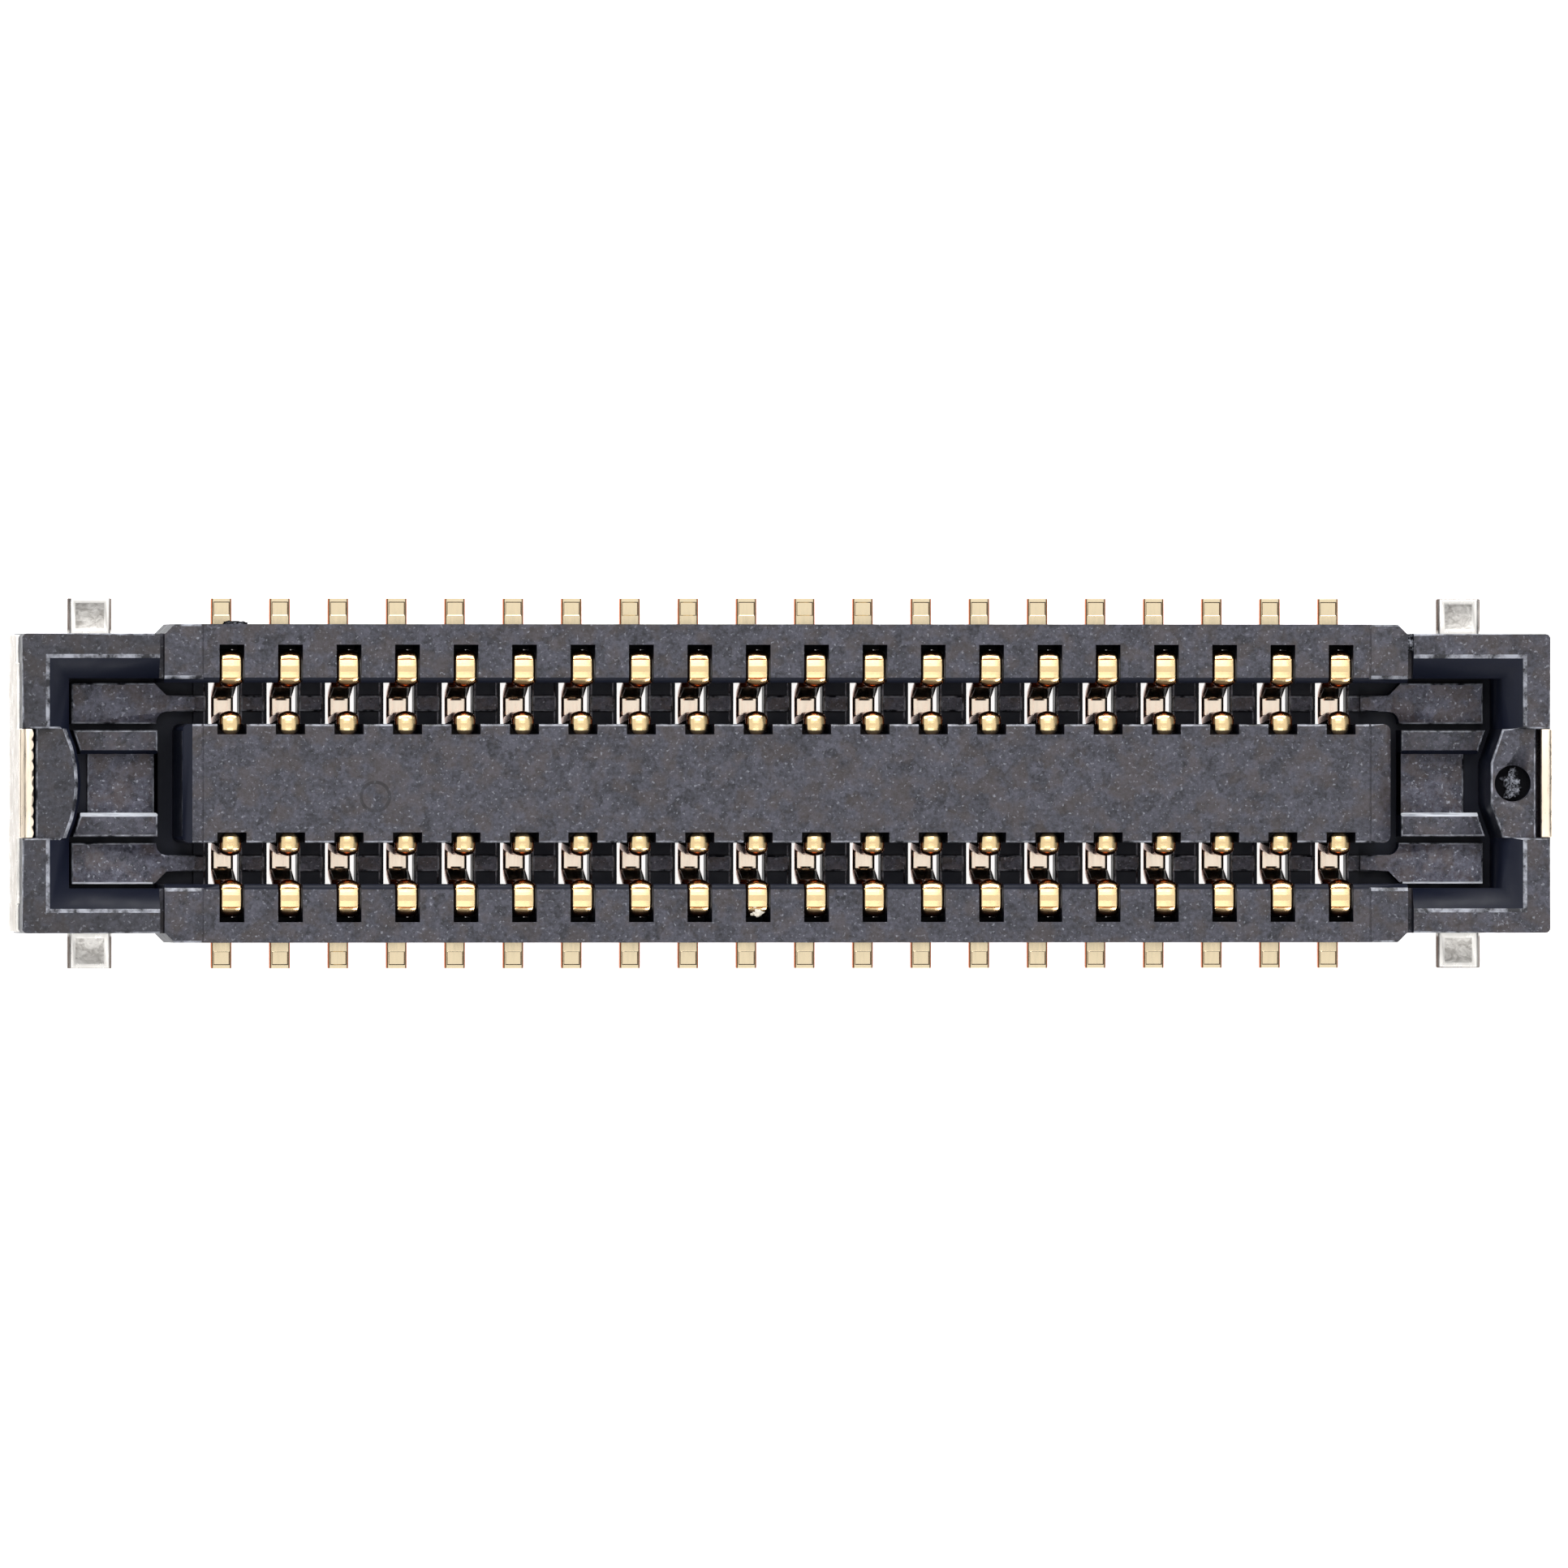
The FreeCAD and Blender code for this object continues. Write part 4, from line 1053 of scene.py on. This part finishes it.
class SOCKET_OT_housing(bpy.types.Operator):
    """The moulded housing with softened edges and its five skins"""

    bl_idname = "socket.housing"
    bl_label = "Moulded Housing"

    def execute(self, context):
        sizes = context.scene.socket_housing
        colours = context.scene.socket_finish
        bm = solid_copy("housing")
        for face in bm.faces:
            face.material_index = skin_of(face)
        bevel_left_nose(bm, sizes)
        cut_island_nose(bm, sizes)
        chamfer_recesses(bm, sizes)
        # Long upper edges take the pale edge skin: partly rubbed wear, partly painted highlight.
        edges = corner_edges(bm, BLUNT, worth_rounding)
        soften(bm, edges, sizes.edge_round / MM, 2, material=RUBBED_AND_HIGHLIT, clamp=False)
        fill_round_legs(bm, sizes)
        raise_ridges(bm, sizes)
        skins = [
            matte_moulding(colours), polished_and_shaded_moulding(colours), rubbed_and_highlit_edge(colours),
            torn_gate(colours), painted_highlight_edge(colours),
        ]
        piece = add_piece("moulded_housing", bm, skins, ["housing"], smooth_angle=25)
        flats = piece.modifiers.new("flat_faces_first", "WEIGHTED_NORMAL")
        flats.keep_sharp = True
        return {"FINISHED"}


# Hold-downs


def coin_legs(bm, sizes):
    """Presses a shallow field inside a border on the end of each solder leg."""
    leg_top, least_area, mostly_up = 0.1, 0.03, 0.9
    reach = max(vert.co.y for vert in bm.verts)
    leg_start = reach - sizes.leg_end / MM
    for side in (1, -1):
        bmesh.ops.bisect_plane(
            bm, geom=bm.verts[:] + bm.edges[:] + bm.faces[:], dist=1e-5,
            plane_co=(0, side * leg_start, 0), plane_no=(0, 1, 0),
        )
    bm.normal_update()
    ends = []
    for face in bm.faces:
        middle = face.calc_center_median()
        on_leg = abs(middle.y) > leg_start and middle.z < leg_top
        if on_leg and face.normal.z > mostly_up and face.calc_area() > least_area:
            ends.append(face)
    bmesh.ops.inset_individual(
        bm, faces=ends, thickness=sizes.coin_inset / MM, depth=-sizes.coin_depth / MM,
    )
    for face in ends:
        face.material_index = 1


def lean_tongue(bm, side, lean):
    """Leans the tongue's top inwards: all of it on the left, its inner edge on the right."""
    top = max(vert.co.z for vert in bm.verts)
    upper = [vert for vert in bm.verts if is_near(vert.co.z, top)]
    inner = min(abs(vert.co.x) for vert in upper)
    moved = [vert for vert in upper if side < 0 or is_near(abs(vert.co.x), inner)]
    bmesh.ops.translate(bm, vec=(-side * lean, 0, 0), verts=moved)


def scallop_tongue(bm, sizes):
    """Waves along the tongue's inner upper edge, as the shear left it."""
    least_length, cuts = 0.5, 60
    top = max(vert.co.z for vert in bm.verts)
    ridge = [
        edge for edge in bm.edges
        if all(is_near(vert.co.z, top) for vert in edge.verts) and edge.calc_length() > least_length
    ]
    inner = min(ridge, key=lambda edge: abs(edge.verts[0].co.x))
    divided = bmesh.ops.subdivide_edges(bm, edges=[inner], cuts=cuts)["geom_inner"]
    for vert in (item for item in divided if isinstance(item, bmesh.types.BMVert)):
        wave = abs(math.sin(math.pi * vert.co.y / (sizes.scallop_pitch / MM)))
        vert.co.x += wave * sizes.scallop / MM * (1 if vert.co.x < 0 else -1)


class SOCKET_OT_hold_downs(bpy.types.Operator):
    """Folded hold-downs with rounded edges, coined legs and a sheared tongue"""

    bl_idname = "socket.hold_downs"
    bl_label = "Hold-downs"

    def execute(self, context):
        sizes = context.scene.socket_hold_down
        colours = context.scene.socket_finish
        skins = [tin_with_bare_tongue(colours), scratched_tin(colours)]
        for end, side in ENDS:
            node = f"hold_down_{end}"
            bm = solid_copy(node)
            lean_tongue(bm, side, sizes.tongue_lean / MM)
            if end == "left":
                scallop_tongue(bm, sizes)
            soften(bm, corner_edges(bm, SHARP), sizes.edge_round / MM, 3)
            coin_legs(bm, sizes)
            add_piece(f"folded_{node}", bm, skins, [node])
        return {"FINISHED"}


# Marks and wear

# Name, middle and radii in millimetres, roughness and seed.
TORN_MARKS = (
    ("gate_vestige", (4.98, 0, 0.715), (0.07, 0.078, 0.03), 0.9, 3.1),
    ("rail_burr", (-3.77, 1.082, 0.70), (0.075, 0.022, 0.03), 0.5, 1.3),
    ("rail_nick", (4.30, 0.955, 0.745), (0.04, 0.05, 0.018), 0.8, 5.9),
)


def lump(middle, radii, roughness, seed):
    """A rough lump: a small sphere that noise has pushed out of shape."""
    waves, dimension, lacunarity, octaves = 1.6, 1.0, 2.0, 4
    bm = bmesh.new()
    bmesh.ops.create_icosphere(bm, subdivisions=4, radius=1)
    offset = Vector((seed, seed * 2, -seed))
    for vert in bm.verts:
        place = vert.co * waves + offset
        vert.co *= 1 + roughness * noise.fractal(place, dimension, lacunarity, octaves)
    bmesh.ops.scale(bm, vec=radii, verts=bm.verts)
    bmesh.ops.translate(bm, vec=middle, verts=bm.verts)
    return bm


class SOCKET_OT_marks(bpy.types.Operator):
    """The gate vestige in the dimple, a burr, a nick, and dried flux on one contact"""

    bl_idname = "socket.marks"
    bl_label = "Vestige and Residue"

    def execute(self, context):
        torn = bpy.data.materials["torn_polymer_gate"]
        for name, *shape in TORN_MARKS:
            add_piece(name, lump(*shape), [torn])
        flux = dried_flux(context.scene.socket_finish)
        place = (middle_x("contact_front_10"), -0.862, 0.708)
        drop = lump(place, radii=(0.05, 0.045, 0.02), roughness=0.35, seed=7.7)
        add_piece("flux_residue", drop, [flux])
        return {"FINISHED"}


# Stage

# Radius in metres.
FLOOR_RADIUS = 2.0
# Name, place and size in millimetres, and power in watts.
LAMPS = (
    ("overhead_softbox", (0, 0, 420), (620, 620), 0.86),
    ("back_key_lamp", (0, 125, 390), (220, 60), 0.11),
    ("front_key_lamp", (0, -125, 390), (220, 40), 0.06),
    ("back_softbox", (0, 110, 85), (150, 60), 0.17),
    ("front_left_lamp", (-60, -75, 85), (34, 34), 0.015),
    ("front_right_lamp", (60, -75, 85), (34, 34), 0.025),
)


def area_lamp(name, place, size, power):
    """A soft rectangular lamp that faces the connector's middle."""
    data = bpy.data.lights.new(name, "AREA")
    data.shape = "RECTANGLE"
    data.size = size[0] * MM
    data.size_y = size[1] * MM
    data.energy = power
    lamp = bpy.data.objects.new(name, data)
    lamp.location = Vector(place) * MM
    lamp.rotation_euler = (Vector() - lamp.location).to_track_quat("-Z", "Y").to_euler()
    bpy.context.scene.collection.objects.link(lamp)


def pale_paper(colours):
    """White paper, which stays white in the picture and where polished faces show it.

    It glows for camera, glossy and transmission rays alone, so it keeps the object's shadow.
    """
    material, tree = new_material("white_paper")
    paper = add_node(tree, "ShaderNodeBsdfDiffuse", {"Color": (*colours.paper, 1)})
    glow = add_node(tree, "ShaderNodeEmission", {"Color": (*colours.paper, 1), "Strength": 0.86})
    rays = add_node(tree, "ShaderNodeLightPath")
    mirrored = add_node(tree, "ShaderNodeMath", {
        0: rays.outputs["Is Glossy Ray"], 1: rays.outputs["Is Transmission Ray"],
    }, operation="MAXIMUM")
    seen = add_node(tree, "ShaderNodeMath", {
        0: rays.outputs["Is Camera Ray"], 1: mirrored.outputs[0],
    }, operation="MAXIMUM")
    dark = add_node(tree, "ShaderNodeEmission", {"Strength": 0.0})
    light = add_node(tree, "ShaderNodeMixShader", {
        0: seen.outputs[0], 1: dark.outputs[0], 2: glow.outputs[0],
    })
    both = add_node(tree, "ShaderNodeAddShader", {0: paper.outputs[0], 1: light.outputs[0]})
    add_node(tree, "ShaderNodeOutputMaterial", {"Surface": both.outputs[0]})
    return material


def studio_world():
    """Weak even light from all round."""
    world = bpy.data.worlds.new("studio")
    world.use_nodes = True
    tree = world.node_tree
    tree.nodes.clear()
    even = add_node(tree, "ShaderNodeBackground", {"Color": (1, 1, 1, 1), "Strength": 0.2})
    add_node(tree, "ShaderNodeOutputWorld", {"Surface": even.outputs[0]})
    bpy.context.scene.world = world


def top_camera(sizes):
    """The camera over the connector, leaning towards its left end."""
    lean = sizes.lean
    data = bpy.data.cameras.new("top_view")
    data.sensor_width = 36
    data.lens = data.sensor_width * sizes.distance / sizes.view_width
    data.clip_start = 0.01
    data.clip_end = 10
    camera = bpy.data.objects.new("top_view", data)
    right = Vector((math.cos(lean), 0, math.sin(lean)))
    up = Vector((0, 1, 0))
    back = Vector((-math.sin(lean), 0, math.cos(lean)))
    place = Vector((sizes.aim_x, sizes.aim_y, 0)) + back * sizes.distance
    camera.matrix_world = Matrix.Translation(place) @ Matrix((right, up, back)).transposed().to_4x4()
    bpy.context.scene.collection.objects.link(camera)
    bpy.context.scene.camera = camera


class SOCKET_OT_stage(bpy.types.Operator):
    """Pale floor, soft lamps, weak even light all round and the camera"""

    bl_idname = "socket.stage"
    bl_label = "Stage"

    def execute(self, context):
        bm = bmesh.new()
        bmesh.ops.create_circle(bm, cap_ends=True, radius=FLOOR_RADIUS, segments=96)
        mesh = bpy.data.meshes.new("floor")
        bm.to_mesh(mesh)
        bm.free()
        mesh.materials.append(pale_paper(context.scene.socket_finish))
        floor = bpy.data.objects.new("floor", mesh)
        bpy.context.scene.collection.objects.link(floor)
        for lamp in LAMPS:
            area_lamp(*lamp)
        studio_world()
        top_camera(context.scene.socket_camera)
        context.scene.view_settings.view_transform = "Standard"
        return {"FINISHED"}


# Sidebar and registration


class SOCKET_PT_sidebar(bpy.types.Panel):
    """Lists the socket's pieces and their sizes"""

    bl_label = "Board to Board Socket"
    bl_idname = "SOCKET_PT_sidebar"
    bl_space_type = "VIEW_3D"
    bl_region_type = "UI"
    bl_category = "Socket"

    def draw(self, context):
        for operator in OPERATORS:
            self.layout.operator(operator.bl_idname)
        for name in GROUPS:
            group = getattr(context.scene, name)
            for item in group.bl_rna.properties.keys():
                if item not in ("rna_type", "name"):
                    self.layout.prop(group, item)


GROUPS = {
    "socket_contact": ContactSizes,
    "socket_housing": HousingSizes,
    "socket_hold_down": HoldDownSizes,
    "socket_finish": Finishes,
    "socket_camera": CameraSizes,
}
OPERATORS = (
    SOCKET_OT_housing,
    SOCKET_OT_contacts,
    SOCKET_OT_hold_downs,
    SOCKET_OT_marks,
    SOCKET_OT_stage,
)


def register():
    """Registers the sizes, the operators and the sidebar."""
    for group in GROUPS.values():
        bpy.utils.register_class(group)
    for name, group in GROUPS.items():
        setattr(bpy.types.Scene, name, bpy.props.PointerProperty(type=group))
    for operator in OPERATORS:
        bpy.utils.register_class(operator)
    bpy.utils.register_class(SOCKET_PT_sidebar)


def unregister():
    """Takes them all away again, in the opposite order."""
    bpy.utils.unregister_class(SOCKET_PT_sidebar)
    for operator in reversed(OPERATORS):
        bpy.utils.unregister_class(operator)
    for name, group in reversed(GROUPS.items()):
        delattr(bpy.types.Scene, name)
        bpy.utils.unregister_class(group)


def main():
    """Makes the pieces and the stage."""
    register()
    bpy.ops.socket.housing()
    bpy.ops.socket.contacts()
    bpy.ops.socket.hold_downs()
    bpy.ops.socket.marks()
    bpy.ops.socket.stage()


if __name__ == "__main__":
    main()
